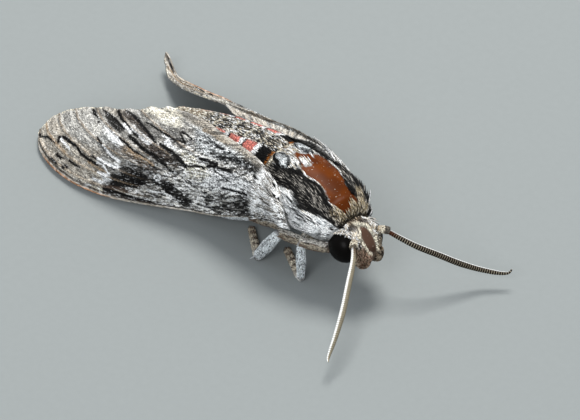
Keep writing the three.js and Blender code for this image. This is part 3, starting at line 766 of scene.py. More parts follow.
STROKES = [
    ("black", 0.4, 0.24, [(0.99, 0.02), (0.96, 0.05), (0.94, 0.09), (0.92, 0.11), (0.89, 0.12)]),
    ("tan", 0.22, 0.2, [(0.99, 0.1), (0.93, 0.12), (0.88, 0.13), (0.84, 0.13)]),
    ("black", 0.46, 0.36, [(0.89, 0.14), (0.9, 0.16), (0.89, 0.19), (0.86, 0.21), (0.83, 0.22),
        (0.8, 0.2), (0.77, 0.2), (0.74, 0.2), (0.73, 0.19)]),
    ("white", 0.34, 0.2, [(0.89, 0.17), (0.87, 0.17), (0.84, 0.17)]),
    ("tan", 0.24, 0.24, [(0.76, 0.18), (0.74, 0.18), (0.71, 0.18), (0.69, 0.18)]),
    ("white", 0.34, 0.24, [(0.74, 0.22), (0.72, 0.22), (0.68, 0.17)]),
    ("white", 0.3, 0.24, [(0.68, 0.17), (0.69, 0.15), (0.71, 0.15)]),
    ("white", 0.3, 0.24, [(0.71, 0.09), (0.69, 0.09), (0.68, 0.09)]),
    ("black", 0.26, 0.34, [(0.77, 0.24), (0.75, 0.24), (0.72, 0.24), (0.7, 0.24), (0.68, 0.23)]),
    ("white", 0.28, 0.34, [(0.75, 0.25), (0.73, 0.25), (0.71, 0.25), (0.68, 0.26)]),
    ("black", 0.2, 0.26, [(0.83, 0.37), (0.79, 0.35), (0.74, 0.32), (0.71, 0.3)]),
    ("white", 0.22, 0.3, [(0.78, 0.35), (0.73, 0.32), (0.69, 0.31)]),
    ("black", 0.32, 0.5, [(0.67, 0.05), (0.64, 0.06), (0.61, 0.05), (0.57, 0.04), (0.54, 0.02),
        (0.51, 0.01)]),
    ("brown", 0.3, 0.3, [(0.67, 0.07), (0.65, 0.08), (0.62, 0.09), (0.6, 0.08)]),
    ("black", 0.38, 0.34, [(0.98, 0.62), (0.9, 0.6), (0.85, 0.59), (0.8, 0.57), (0.77, 0.57)]),
    ("black", 0.42, 0.3, [(0.99, 0.68), (0.94, 0.7), (0.86, 0.68), (0.79, 0.66), (0.73, 0.63), (0.7, 0.61)]),
    ("black", 0.3, 0.3, [(0.98, 0.53), (0.95, 0.55), (0.9, 0.56), (0.83, 0.55)]),
    ("white", 0.3, 0.24, [(0.87, 0.58), (0.83, 0.57), (0.8, 0.56)]),
    ("black", 0.46, 0.5, [(0.78, 0.53), (0.74, 0.52), (0.69, 0.5), (0.65, 0.49), (0.61, 0.48),
        (0.57, 0.46)]),
    ("black", 0.44, 0.5, [(0.68, 0.62), (0.64, 0.61), (0.6, 0.6), (0.55, 0.57), (0.51, 0.53)]),
    ("black", 0.26, 0.3, [(0.79, 0.47), (0.74, 0.46), (0.7, 0.44), (0.65, 0.43), (0.62, 0.41),
        (0.59, 0.39)]),
    ("tan", 0.34, 0.26, [(0.72, 0.43), (0.68, 0.42), (0.64, 0.42), (0.6, 0.41)]),
    ("tan", 0.7, 0.4, [(0.66, 0.94), (0.6, 0.96), (0.54, 0.95), (0.47, 0.96)]),
    ("black", 0.2, 0.24, [(0.74, 0.73), (0.7, 0.73), (0.68, 0.73), (0.66, 0.74), (0.63, 0.75)]),
    ("black", 0.2, 0.24, [(0.63, 0.75), (0.67, 0.78), (0.71, 0.81), (0.68, 0.82), (0.63, 0.81)]),
    ("black", 0.26, 0.2, [(0.86, 0.72), (0.82, 0.73), (0.78, 0.73), (0.73, 0.73)]),
    ("black", 0.32, 0.38, [(0.5, 0.68), (0.47, 0.7), (0.44, 0.7), (0.4, 0.7)]),
    ("black", 0.36, 0.44, [(0.44, 0.64), (0.39, 0.67), (0.35, 0.69), (0.32, 0.71)]),
    ("black", 0.26, 0.3, [(0.51, 0.53), (0.49, 0.57), (0.47, 0.59), (0.44, 0.6)]),
    ("black", 0.16, 0.16, [(0.39, 0.61), (0.34, 0.59), (0.29, 0.55), (0.28, 0.55)]),
    ("black", 0.22, 0.36, [(0.3, 0.42), (0.26, 0.42), (0.21, 0.42), (0.18, 0.41)]),
    ("white", 0.4, 0.3, [(0.55, 0.14), (0.53, 0.14), (0.51, 0.15), (0.48, 0.14)]),
    ("white", 0.26, 0.24, [(0.56, 0.29), (0.56, 0.32), (0.55, 0.33), (0.54, 0.29), (0.55, 0.27)]),
    ("black", 0.24, 0.2, [(0.2, 0.79), (0.14, 0.71), (0.09, 0.6)]),
]
DASHES = [
    ("black", 0.42, 0.36, [(0.92, 0.03), (0.89, 0.04), (0.85, 0.04), (0.83, 0.05), (0.81, 0.05)]),
    ("black", 0.4, 0.34, [(0.86, 0.08), (0.83, 0.08), (0.81, 0.07), (0.79, 0.06), (0.77, 0.05)]),
    ("black", 0.32, 0.26, [(0.81, 0.11), (0.79, 0.11), (0.77, 0.11)]),
    ("black", 0.3, 0.3, [(0.81, 0.39), (0.78, 0.38), (0.74, 0.38), (0.71, 0.36)]),
    ("black", 0.34, 0.3, [(0.99, 0.46), (0.96, 0.46), (0.93, 0.46), (0.9, 0.45)]),
    ("black", 0.2, 0.2, [(0.39, 0.11), (0.35, 0.1), (0.29, 0.11), (0.22, 0.1)]),
    ("black", 0.18, 0.18, [(0.54, 0.42), (0.49, 0.4), (0.44, 0.34), (0.39, 0.3)]),
    ("black", 0.26, 0.26, [(0.62, 0.28), (0.58, 0.28), (0.52, 0.23), (0.48, 0.15)]),
    ("black", 0.18, 0.18, [(0.52, 0.78), (0.43, 0.8), (0.34, 0.85), (0.25, 0.91)]),
    ("black", 0.2, 0.18, [(0.61, 0.83), (0.52, 0.87), (0.41, 0.89), (0.3, 0.92)]),
]
# each vein's place across the wing at the root, at the end of the cell and at the margin, and its start
VEINS = [
    (0.2, 0.09, 0.03, 0.0),
    (0.3, 0.18, 0.1, 0.35),
    (0.38, 0.26, 0.22, 0.42),
    (0.46, 0.36, 0.35, 0.46),
    (0.54, 0.46, 0.49, 0.44),
    (0.62, 0.56, 0.63, 0.36),
    (0.7, 0.7, 0.78, 0.0),
    (0.88, 0.89, 0.93, 0.0),
]
CELL_END = 0.46  # share of the wing where the cell ends and its veins branch
WING_BREADTH = 17  # mm from front edge to inner edge, where it is broad


def vein_at(vein, u):
    """How far across the wing a vein lies, at the given places along it."""
    base, cell, margin, _ = vein
    inner = base + (cell - base) * smooth(0, CELL_END, u)
    outer = cell + (margin - cell) * (u - CELL_END) / (1 - CELL_END)
    return np.where(u < CELL_END, inner, outer)


def distance_to_line(points, line, widths):
    """How far each point lies outside a tapering line."""
    best = np.full(len(points), np.inf)
    steps = len(line) - 1
    for k in range(steps):
        a, b = line[k], line[k + 1]
        along = b - a
        t = np.clip((points - a) @ along / max(along @ along, 1e-9), 0, 1)
        w = widths[0] + (widths[1] - widths[0]) * (k + t) / steps
        best = np.minimum(best, np.linalg.norm(points - a - t[:, None] * along, axis=1) - w / 2)
    return best


def is_inside(uv, outline):
    """Whether each place lies inside a closed outline."""
    inside = np.zeros(len(uv), bool)
    previous = outline[-1]
    for corner in outline:
        (u0, v0), (u1, v1) = previous, corner
        if v0 != v1:
            crosses = (v0 > uv[:, 1]) != (v1 > uv[:, 1])
            inside ^= crosses & (uv[:, 0] < (u1 - u0) * (uv[:, 1] - v0) / (v1 - v0) + u0)
        previous = corner
    return inside


def forewing_colours(surface, uv, points, lie):
    """The forewing's pattern at the given places: ground, patches, rows of scales, veins, lines and edge."""
    u, v = uv[:, 0], uv[:, 1]
    streaks = noise(lie, (1.6, 0.3), 3)
    flecks = noise(lie, (0.5, 0.2), 5)
    clouds = noise(lie, (3.2, 1.6), 9)
    ragged = (flecks - 0.5) * 0.5 + (streaks - 0.5) * 0.4
    colours = tint("wing_grey", (len(uv),))
    colours = blend(colours, "pale", 0.4 * smooth(0.5, 0.8, clouds))
    colours = blend(colours, "dark", 0.4 * smooth(0.5, 0.8, 1 - clouds))
    for name, strength, edge, outline in PATCHES:
        border = surface(*np.array(outline + outline[:1]).T)[0]
        d = distance_to_line(points, border, (0, 0))
        depth = np.where(is_inside(uv, outline), d, -d) + ragged * min(1.6, 1.2 * edge + 0.4)
        colours = blend(colours, name, strength * smooth(-edge / 2, edge / 2, depth))
    # rows of dark and light scales, longer than wide along the veins, strongest near the body
    outer = smooth(0.35, 0.55, u)
    coarse = 0.6 * noise(lie, (1.2, 0.22), 21) + 0.4 * noise(lie, (0.45, 0.15), 22)
    fine = 0.6 * noise(lie, (0.75, 0.19), 21) + 0.4 * noise(lie, (0.3, 0.13), 22)
    rows = 2 * smooth(0.36, 0.62, coarse + (fine - coarse) * outer) - 1
    depth = 1 - 0.65 * smooth(0.5, 0.8, u)
    colours = colours * (colours.mean(1) / 0.32)[:, None] ** 0.4
    contrast = depth * np.where(rows < 0, 1.6 - 0.1 * outer, 1.1 - 0.5 * outer)
    colours = colours * np.exp(contrast * rows)[:, None]
    colours = colours / np.maximum(1, colours.max(1) / 0.93)[:, None]
    # single white and black scales among the rest, fewer towards the tip
    own = scatter(np.floor(lie / (0.5, 0.17)).astype(np.int64), 23)
    inner = 1 - 0.8 * smooth(0.5, 0.75, u)
    colours = blend(colours, "white", 0.6 * inner * (own < 0.22) * smooth(0.015, 0.06, colours.mean(1)))
    colours = blend(colours, "black", 0.8 * inner * (own > 0.84))
    for vein in VEINS[:-1]:
        off = np.abs(v - vein_at(vein, u)) * WING_BREADTH
        here = smooth(vein[3] + 0.12, vein[3] + 0.3, u) * (1 - smooth(0.05, 0.16, off))
        colours = blend(colours, "tan", 0.5 * here * smooth(0.5, 0.62, u))
    for lines, broken in ((STROKES, False), (DASHES, True)):
        for name, start, end, line in lines:
            path = curve(surface(*np.array(line).T)[0])(np.linspace(0, 1, 4 * len(line)))
            d = distance_to_line(points, path, (start * 1.2, end * 1.2))
            gaps = smooth(0.34, 0.54, noise(lie, (0.9, 0.5), 31)) if broken else 1.0
            colours = blend(colours, name, gaps * (1 - smooth(-0.06, 0.12, d + ragged * 0.2)))
    edge = v * WING_BREADTH
    colours = blend(colours, "beige", 0.85 * (1 - smooth(0.2, 0.36, edge)) * smooth(0.1, 0.3, u))
    edge_line = 0.85 * (1 - smooth(0.06, 0.12, np.abs(edge - 0.42)))
    colours = blend(colours, "dark_brown", edge_line * smooth(0.1, 0.3, u))
    rust = smooth(0.6, 0.7, u) * (1 - smooth(0.86, 0.92, u))
    colours = blend(colours, "orange", 0.7 * (1 - smooth(0.1, 0.2, edge)) * rust)
    hem = smooth(0.9, 0.97, v) * smooth(*HEM["from"], u) * (1 - smooth(*HEM["to"], u))
    thin = noise(lie, (6.0, 0.2), 33)
    colours = blend(colours, "beige", 0.9 * hem)
    return blend(colours, "dark", 0.8 * hem * smooth(0.52, 0.64, thin))


def underside_colours(uv, lie):
    """Plain brownish grey with thin dark streaks along the wing; paler towards the inner edge as painted
    light, where the underside lies in shade.
    """
    colours = blend(tint("wing_grey", (len(uv),)), "brown", 0.3 + 0.3 * noise(lie, (2.0, 0.5), 51))
    # painted light: paler towards the inner edge, where the underside lies in shade
    colours = blend(colours, "pale", 0.9 * smooth(0.45, 0.75, uv[:, 1]))
    thin = noise(lie, (5.0, 0.22), 52)
    return blend(colours, "dark", 0.8 * smooth(0.62, 0.7, thin) * smooth(0.4, 0.6, uv[:, 1]))


# ---------- wings ----------

WING_THICKNESS, WING_LENGTH = 0.24, 49.0
FOREWING_GRID, HINDWING_GRID = (300, 146), (90, 50)  # faces along and across
CAD_HALF_THICKNESS = 0.25  # of the part's own wings
# the rolled inner edge: its share across, where it starts and ends along the wing, its reach inwards in mm
HEM = {"share": 0.1, "from": (0.12, 0.3), "to": (0.7, 0.95), "reach": {"right": 0.15, "left": 1.3}}


def sheet_faces(rows, columns, flip):
    """Faces of a closed shell: an upper and a lower grid, and the rim; rows and columns count the faces."""
    n = (rows + 1) * (columns + 1)
    corner = np.arange(n).reshape(rows + 1, columns + 1)
    a, b, c, d = corner[:-1, :-1], corner[:-1, 1:], corner[1:, 1:], corner[1:, :-1]
    upper = np.stack([a, b, c, d], -1).reshape(-1, 4)
    lower = upper[:, ::-1] + n
    rim = np.concatenate([corner[0, :-1], corner[:-1, -1], corner[-1, :0:-1], corner[:0:-1, 0]])
    after = np.roll(rim, -1)
    sides = np.stack([after, rim, rim + n, after + n], -1)
    faces = np.vstack([upper, lower, sides])
    return faces[:, ::-1] if flip else faces


def wing_lie(surface, u, v):
    """Places on the wing laid flat, in mm: along it and across it."""
    chord = np.linalg.norm(surface(u, np.ones_like(u))[0] - surface(u, np.zeros_like(u))[0], axis=-1)
    return np.stack([u * WING_LENGTH, v * chord], -1), chord


def wing_map(u, v):
    """Places of the upper side in the lower half of the OFBake map."""
    return np.stack([u * 0.98 + 0.01, v * 0.47 + 0.01], -1)


def wing_relief(u, v, lie, chord, veins):
    """Fine unevenness of the membrane, ridges along the veins and furrows beside them, in mm."""
    relief = 0.05 * (noise(lie, (2.2, 0.8), 41) - 0.5) + 0.03 * (noise(lie, (0.6, 0.22), 42) - 0.5)
    for vein in veins:
        off = np.abs(v - vein_at(vein, u)) * chord
        relief += 0.16 * np.exp(-((off / 0.22) ** 2)) * smooth(vein[3] - 0.08, vein[3] + 0.06, u)
        relief -= 0.10 * np.exp(-(((off - 0.65) / 0.4) ** 2)) * smooth(vein[3], vein[3] + 0.2, u)
    return relief


def scallop(v):
    """How far the outer margin stands out between the ends of the veins, in mm."""
    ends = np.array([0.0] + [vein[2] for vein in VEINS] + [1.0])
    k = np.clip(np.searchsorted(ends, v, side="right") - 1, 0, len(ends) - 2)
    share = (v - ends[k]) / (ends[k + 1] - ends[k])
    return (0.15 + 0.35 * v) * np.sin(np.pi * share) ** 0.7


def margin_direction(surface, v):
    """The way the outer margin faces."""
    return unit(surface(np.ones_like(v), v)[0] - surface(np.full_like(v, 0.96), v)[0])


def wing_piece(kind, side, edges, grid, veins, colour_at, material):
    """A wing as a thin closed shell; the rolled hem of its inner edge reaches a little over the back."""
    surface = wing_surface(side, edges)
    grid_u, grid_v = (np.linspace(0, 1, count + 1) for count in grid)
    u, v = (g.ravel() for g in np.meshgrid(grid_u, grid_v, indexing="ij"))
    points, normals = surface(u, v)
    lie, chord = wing_lie(surface, u, v)
    relief = wing_relief(u, v, lie, chord, veins)
    roll = 0 * u
    if kind == "forewing":
        inward = HEM["reach"][side] * smooth(*HEM["from"], u) * (1 - smooth(*HEM["to"], u))
        roll = smooth(1 - HEM["share"], 1, v) * inward
        points = points + margin_direction(surface, v) * (scallop(v) * smooth(0.97, 1, u))[:, None]
        wave = 1.3 * (scallop(v) - 0.2) * smooth(0.9, 1, u) * smooth(0.3, 0.6, v)
        points = points + normals * wave[:, None]
    points = points + np.stack([0 * u, -SIDES[side] * roll, -0.25 * roll**2], -1)
    normals = unit(normals + np.array([0, -0.6 * SIDES[side], 0.9]) * (roll > 0.01)[:, None])
    upper = points + normals * (CAD_HALF_THICKNESS - 0.05 + relief)[:, None]
    lower = upper - normals * WING_THICKNESS
    faces = sheet_faces(*grid, SIDES[side] > 0)
    piece = new_piece(f"{kind}_scaled_{side}", np.vstack([upper, lower]), faces, material)
    above = colour_at(surface, np.stack([u, v], -1), points, lie)
    below = underside_colours(np.stack([u, v], -1), lie)
    set_colours(piece, np.vstack([above, below]))
    set_map(piece, "Lie", np.vstack([lie, lie]) / 10)
    flat = wing_map(u, v)
    set_map(piece, "OFBake", np.vstack([flat, flat + (0, 0.5)]))
    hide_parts(f"{kind}_{side}")
    return surface


def hindwing_colours(surface, uv, points, lie):
    """Brownish grey with three sooty bands and a pale front edge."""
    u, v = uv[:, 0], uv[:, 1]
    colours = blend(tint("wing_grey", (len(uv),)), "brown", 0.35 + 0.25 * noise(lie, (3.0, 0.8), 61))
    for centre in (0.3, 0.55, 0.78):
        colours = blend(colours, "soot", 0.8 * (1 - smooth(0.04, 0.09, np.abs(u + 0.1 * v - centre))))
    return blend(colours, "pale", 0.6 * (1 - smooth(0.0, 0.08, v)))


FORE_SURFACES = {}
for side in SIDES:
    FORE_SURFACES[side] = wing_piece(
        "forewing", side, FOREWINGS[side], FOREWING_GRID, VEINS, forewing_colours, WING_UPPER
    )
    wing_piece("hindwing", side, HINDWING, HINDWING_GRID, VEINS[::3], hindwing_colours, WING_HIND)

# ---------- body markings ----------


def side_angle(angle):
    """Turns any angle round the body into minus pi to pi."""
    return (angle + np.pi) % (2 * np.pi) - np.pi


# outlines of the rubbed patches: (along the body, angle round it), found like the forewing's places
BARE_BACK = [(-12.4, 1.82), (-10.2, 1.78), (-8.1, 1.79), (-6.7, 1.83), (-5.7, 1.94), (-4.8, 1.9)]
BARE_BACK += [(-4.1, 1.73), (-3.9, 1.51), (-4.2, 1.21), (-5.3, 1.18), (-7.0, 1.06), (-9.2, 0.89)]
BARE_BACK += [(-11.0, 0.87), (-13.8, 0.71), (-13.5, 1.12), (-12.2, 1.4), (-12.2, 1.57)]
BARE_SPOT = [(-14.9, 1.52), (-14.2, 1.3), (-13.0, 1.48), (-13.5, 1.66)]
GIRTH, ABDOMEN_GIRTH = 5.2, 4.8  # mm round the thorax and the abdomen for each radian


def bare_back(x, angle):
    """1 where the thorax is rubbed bare: a long patch down the back and a small one behind it."""
    across = side_angle(angle)
    flat = np.stack([x, across * GIRTH], -1)
    ragged = 1.3 * (noise(flat, (1.3, 0.5), 71) - 0.5) + 0.5 * (noise(flat, (0.5, 0.18), 72) - 0.5)
    bare = np.zeros(np.shape(x))
    for outline in (BARE_BACK, BARE_SPOT):
        border = np.array(outline + outline[:1]) * (1, GIRTH)
        d = distance_to_line(flat, border, (0, 0))
        inside = is_inside(np.stack([x, across], -1), outline)
        bare = np.maximum(bare, smooth(-0.08, 0.08, np.where(inside, d, -d) + 0.45 + ragged))
    return bare


# edges of the dark band along each flank: angle above the flank for places along the body
BAND = {
    "right": {
        "x": (-15.4, -12.4, -10.1, -7.9, -6.1, -3.8),
        "upper": (0.9, 1.26, 1.31, 1.29, 1.2, 1.1),
        "lower": (0.6, 0.64, 0.6, 0.5, 0.52, 0.7),
    },
    "left": {
        "x": (-15.4, -13.2, -11.4, -9.3, -7.6, -4.3),
        "upper": (0.85, 0.75, 0.68, 0.85, 1.1, 1.25),
        "lower": (0.6, 0.45, 0.5, 0.5, 0.3, 0.25),
    },
}
TUFT_X, TUFT_FLANK = -16.0, 1.14  # middle of the ringed tuft at the rear of each side


def striped(shape, light, middle, dark, mix, low=0.42, high=0.58):
    """Each tuft takes the light, middle or dark tint by its mix, from 0 to 1."""
    colours = blend(tint(light, shape), middle, smooth(low - 0.03, low + 0.03, mix))
    return blend(colours, dark, smooth(high - 0.03, high + 0.03, mix))


def tuft_mix(grain, luck, shared, single):
    """A mix round 0.5: part of it shared by neighbouring tufts, part each tuft's own."""
    return 0.5 + 0.9 * (shared * (grain - 0.5) + single * (luck - 0.5))


def over(colours, layer, weight):
    """The colours, taken towards another layer of colours by its weight."""
    return colours + (layer - colours) * np.clip(weight, 0, 1)[..., None]


def thorax_colours(x, angle, luck):
    """Grey back, dark bands, white lappets, a beige ruff and rear rim, two ringed tufts, a pale belly."""
    flank, right = flank_of(angle), np.cos(angle) < 0
    streak = noise(np.stack([x, side_angle(angle) * GIRTH], -1), (2.2, 0.3), 81)
    mix = tuft_mix(streak, luck, 0.3, 0.7)
    colours = striped(x.shape, "hair_white", "hair_beige", "soot", mix, 0.55, 0.77)
    edges = {
        key: np.where(right, *(np.interp(x, BAND[s]["x"], BAND[s][key]) for s in ("right", "left")))
        for key in ("upper", "lower")
    }
    wobble = 0.1 * (streak - 0.5)
    inside = smooth(-0.03, 0.03, edges["upper"] - flank + wobble)
    inside = inside * smooth(-0.03, 0.03, flank - edges["lower"] + wobble)
    middle = np.abs((flank - edges["lower"]) / (edges["upper"] - edges["lower"]) - 0.5) * 2
    grizzle = 0.5 + 0.15 * (streak - 0.5) + 0.7 * (luck - 0.5) + 0.3 * (middle - 0.5)
    band = striped(x.shape, "hair_grey", "soot", "black", grizzle, 0.25, 0.38)
    colours = over(colours, band, inside)
    lappet = smooth(-0.02, 0.04, edges["lower"] - flank + wobble) * smooth(-0.5, -0.3, flank)
    below = edges["lower"] - flank + 1.2 * wobble
    line = 0.16 * np.cos(np.clip(below / 0.17, 0, 4.2) * np.pi) * smooth(-16.0, -13.0, x)
    lines = striped(x.shape, "hair_white", "blue_grey", "soot", mix - line, 0.58, 0.72)
    colours = over(colours, lines, lappet)
    belly = striped(x.shape, "belly", "hair_grey", "dark_brown", mix, 0.45, 0.62)
    colours = over(colours, belly, smooth(-0.35, -0.5, flank))
    # painted shade: darker low on the flanks at the front, where the lappets end above the eyes
    colours = blend(colours, "soot", 0.75 * smooth(-6.5, -4.8, x) * smooth(0.2, 0.0, flank))
    reach = -4.9 - 1.6 * (~right) * smooth(1.15, 0.75, flank)
    start = np.where(right, 0.8, 0.5)
    ruff = smooth(0, 0.5, x - reach) * smooth(0, 0.25, flank - start)
    brown = striped(x.shape, "hair_beige", "collar_beige", "dark_brown", mix, 0.4, 0.62)
    colours = over(colours, brown, ruff)
    hem = smooth(-3.3, -2.9, x) * smooth(0.5, 0.75, flank) + ruff * (1 - smooth(0.1, 0.25, np.abs(x + 4.75)))
    colours = blend(colours, "black", 0.85 * hem)
    rim = smooth(-17.1, -17.7, x) * smooth(0.5, 0.75, flank)
    colours = over(colours, striped(x.shape, "cream", "tan", "dark_brown", mix, 0.55, 0.7), rim)
    along, above = (x - TUFT_X) / 1.5, (flank - TUFT_FLANK) / 0.19
    from_tuft = np.hypot(along, above) + 0.5 * (streak - 0.5)
    outer = -along - above
    ring = (1 - smooth(1.2, 1.35, from_tuft)) * (0.5 + 0.5 * smooth(-0.6, 0.2, outer))
    colours = blend(colours, "black", 0.95 * ring)
    tuft = striped(x.shape, "leg_blue", "blue_grey", "dark", mix, 0.5, 0.66)
    return over(colours, tuft, 1 - smooth(0.8, 0.95, from_tuft))


def abdomen_colours(x, angle, luck):
    """Grey back with a fine black midline, and rose, black and white bars down each side."""
    flank = flank_of(angle)
    pitch = (ABDOMEN["stations"][-1, 0] - ABDOMEN["stations"][0, 0]) / ABDOMEN_SEGMENTS
    along = (x - ABDOMEN["stations"][0, 0]) / pitch
    ring = np.clip(np.floor(along), 0, ABDOMEN_SEGMENTS - 1)
    share = along - ring
    arc = (side_angle(angle) - np.pi / 2) * ABDOMEN_GIRTH
    grain = noise(np.stack([x, arc], -1), (1.1, 0.22), 91)
    mix = tuft_mix(grain, luck, 0.35, 0.65)
    colours = striped(x.shape, "hair_white", "hair_beige", "soot", mix, 0.32, 0.5)
    colours = blend(colours, "black", 0.9 * (1 - smooth(0.1, 0.28, np.abs(arc))) * smooth(0.15, 0.3, share))
    chevron = np.abs(share - 0.62 - 0.22 * np.abs(arc)) * pitch
    colours = blend(colours, "black", 0.6 * smooth(-0.3, -0.12, chevron) * smooth(0.5, 0.3, np.abs(arc) / 3))
    colours = blend(colours, "cream", 0.55 * smooth(0.88, 0.93, share))
    end = smooth(-34.5, -38.0, x)
    colours = over(colours, striped(x.shape, "cream", "beige", "tan", mix, 0.45, 0.58), 0.8 * end)
    upper = 1.22 - 0.03 * ring
    barred = smooth(0.04, -0.04, flank - upper) * smooth(-0.7, -0.6, flank) * np.where(ring >= 4, 0.3, 1.0)
    bar = blend(tint("pink", x.shape), "head_pink", 0.3 * luck)
    bar = np.where((ring < 1)[..., None], TINTS["black"], bar)
    bar = blend(bar, "black", smooth(0.62, 0.66, share))
    bar = blend(bar, "white", smooth(0.72, 0.75, share))
    bar = blend(bar, "orange", 0.6 * (1 - smooth(0.06, 0.1, share)) * (ring < 1) * smooth(0.6, 0.8, flank))
    colours = over(colours, bar, barred)
    belly = striped(x.shape, "belly", "hair_grey", "dark_brown", mix, 0.5, 0.64)
    return over(colours, belly, smooth(-0.6, -0.8, flank))


def from_brow(x, y):
    """1 on the rim of the bare oval between the antennae, less inside it."""
    return np.hypot((x - 0.95) / 1.75, (y + 0.1) / 0.82)


def bare_brow(points):
    """1 on the bare oval between the antennae."""
    x, y, z = points[..., 0], points[..., 1], points[..., 2]
    return smooth(1.15, 0.95, from_brow(x, y)) * smooth(8.0, 8.6, z)


def head_colours(points, luck):
    """Beige and rosy scales, white round eyes and antenna sockets, a cream rim round the bare brow."""
    x, y, z = points[..., 0], points[..., 1], points[..., 2]
    grain = noise(points, (0.5, 0.4, 0.6), 95)
    mix = tuft_mix(grain, luck, 0.5, 0.6)
    colours = striped(x.shape, "head_light", "head_beige", "dark_brown", mix, 0.32, 0.52)
    rosy = striped(x.shape, "head_pink", "head_beige", "joint_brown", mix, 0.48, 0.62)
    colours = over(colours, rosy, 0.8 * smooth(0.2, 1.2, x) * smooth(1.0, 0.0, y))
    sides = smooth(9.8, 10.6, z) * smooth(0.9, 1.5, np.abs(y))
    colours = over(colours, striped(x.shape, "hair_white", "head_light", "dark", mix, 0.45, 0.64), sides)
    rim = 1 - smooth(1.25, 1.5, from_brow(x, y))
    colours = blend(colours, "cream", 0.85 * rim * smooth(8.0, 8.6, z))
    notch = (1 - smooth(0.5, 0.9, np.hypot(x + 0.9, np.abs(y) - 1.2))) * smooth(10.0, 10.6, z)
    return blend(colours, "dark_brown", 0.85 * notch)


# ---------- skin ----------

COAT_DEPTH = {"thorax": 0.32, "abdomen": 0.2, "head": 0.16, "palp": 0.15}
HEAD_END, THORAX_END = -2.15, -18.35  # where the skin's markings change over
SKIN_PAINTED_SHADE = 0.35  # painted shade of the skin under the coat: how dark it is against the coat's tints


def loft_piece(name, rings):
    """A closed loft through rings of equal length, for the skin to be fused from."""
    rings = np.asarray(rings)
    count, n = rings.shape[:2]
    hubs = rings[[0, -1]].mean(1)
    points = np.vstack([rings.reshape(-1, 3), hubs])
    at = np.arange(count * n).reshape(count, n)
    a, b = at[:-1], at[1:]
    sides = np.stack([a, np.roll(a, -1, 1), np.roll(b, -1, 1)], -1).reshape(-1, 3)
    more = np.stack([a, np.roll(b, -1, 1), b], -1).reshape(-1, 3)
    start = np.stack([np.full(n, count * n), np.roll(at[0], -1), at[0]], -1)
    end = np.stack([np.full(n, count * n + 1), at[-1], np.roll(at[-1], -1)], -1)
    faces = np.vstack([sides, more, start, end])
    mesh = bpy.data.meshes.new(name)
    mesh.from_pydata(place(points).tolist(), [], faces.tolist())
    piece = bpy.data.objects.new(name, mesh)
    bpy.context.scene.collection.objects.link(piece)
    return piece


def body_rings(body, front, rear, step, inset, raise_at=level, sides=72):
    """Rings of points along a body, inside its surface by the inset."""
    x = np.arange(front, rear, -step)
    angle = -np.arange(sides) * 2 * np.pi / sides
    xs, angles = np.meshgrid(x, angle, indexing="ij")
    return body_point(body, xs, angles, -inset + raise_at(xs, angles))


def tube_rings(at, radii, steps, sides, end=1.0):
    """Rings round a curve, and the outward direction of each point."""
    t = np.linspace(0.0, end, steps)
    centre = at(t)
    along = unit(np.gradient(centre, axis=0))
    side = unit(np.cross(along, (0.0, 0.0, 1.0)))
    above = np.cross(side, along)
    turn = 2 * np.pi * np.arange(sides) / sides
    out = side[:, None] * np.cos(turn)[None, :, None] + above[:, None] * np.sin(turn)[None, :, None]
    radius = np.interp(t, *np.array(radii).T)
    return centre[:, None] + out * radius[:, None, None], out


def body_skin():
    """One skin for head, palps, thorax and abdomen, fused and smoothed, inside the coat by its depth."""
    parts = [
        loft_piece("part_thorax", body_rings(THORAX, -2.6, -18.9, 0.25, COAT_DEPTH["thorax"], thorax_raise)),
        loft_piece("part_abdomen", body_rings(ABDOMEN, -18.0, -43.5, 0.25, COAT_DEPTH["abdomen"])),
        loft_piece("part_head", body_rings(HEAD, 1.9, -3.2, 0.2, COAT_DEPTH["head"])),
    ]
    for side in SIDES:
        radii = [(share, max(radius - COAT_DEPTH["palp"], 0.05)) for share, radius in PALP["radii"]]
        rings, _ = tube_rings(curve(mirror(side, PALP["path"])), radii, 24, 20, 0.96)
        parts.append(loft_piece(f"part_palp_{side}", rings))
    bpy.ops.object.select_all(action="DESELECT")
    for part in parts:
        part.select_set(True)
    bpy.context.view_layer.objects.active = parts[0]
    bpy.ops.object.join()
    skin = bpy.context.view_layer.objects.active
    skin.name = skin.data.name = "body_skin"
    bpy.ops.object.mode_set(mode="EDIT")
    bpy.ops.mesh.select_all(action="SELECT")
    bpy.ops.mesh.normals_make_consistent(inside=False)
    bpy.ops.object.mode_set(mode="OBJECT")
    fuse = skin.modifiers.new("fuse", "REMESH")
    fuse.mode = "VOXEL"
    fuse.voxel_size = 0.2 * MM
    bpy.ops.object.modifier_apply(modifier="fuse")
    relax = skin.modifiers.new("relax", "SMOOTH")
    relax.iterations = 6
    bpy.ops.object.modifier_apply(modifier="relax")
    skin.data.polygons.foreach_set("use_smooth", np.full(len(skin.data.polygons), True))
    dress(skin, SKIN)
    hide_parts("thorax", "abdomen", "head", "palp_right", "palp_left")
    return skin


def angle_round(body, points):
    """The angle of points round a body, as body_point takes it."""
    top, bottom, half_width, waist = station_at(body["stations"], points[:, 0])
    dz = points[:, 2] - waist
    half = np.where(dz > 0, top - waist, waist - bottom)
    return np.arctan2(dz / half, points[:, 1] / half_width)


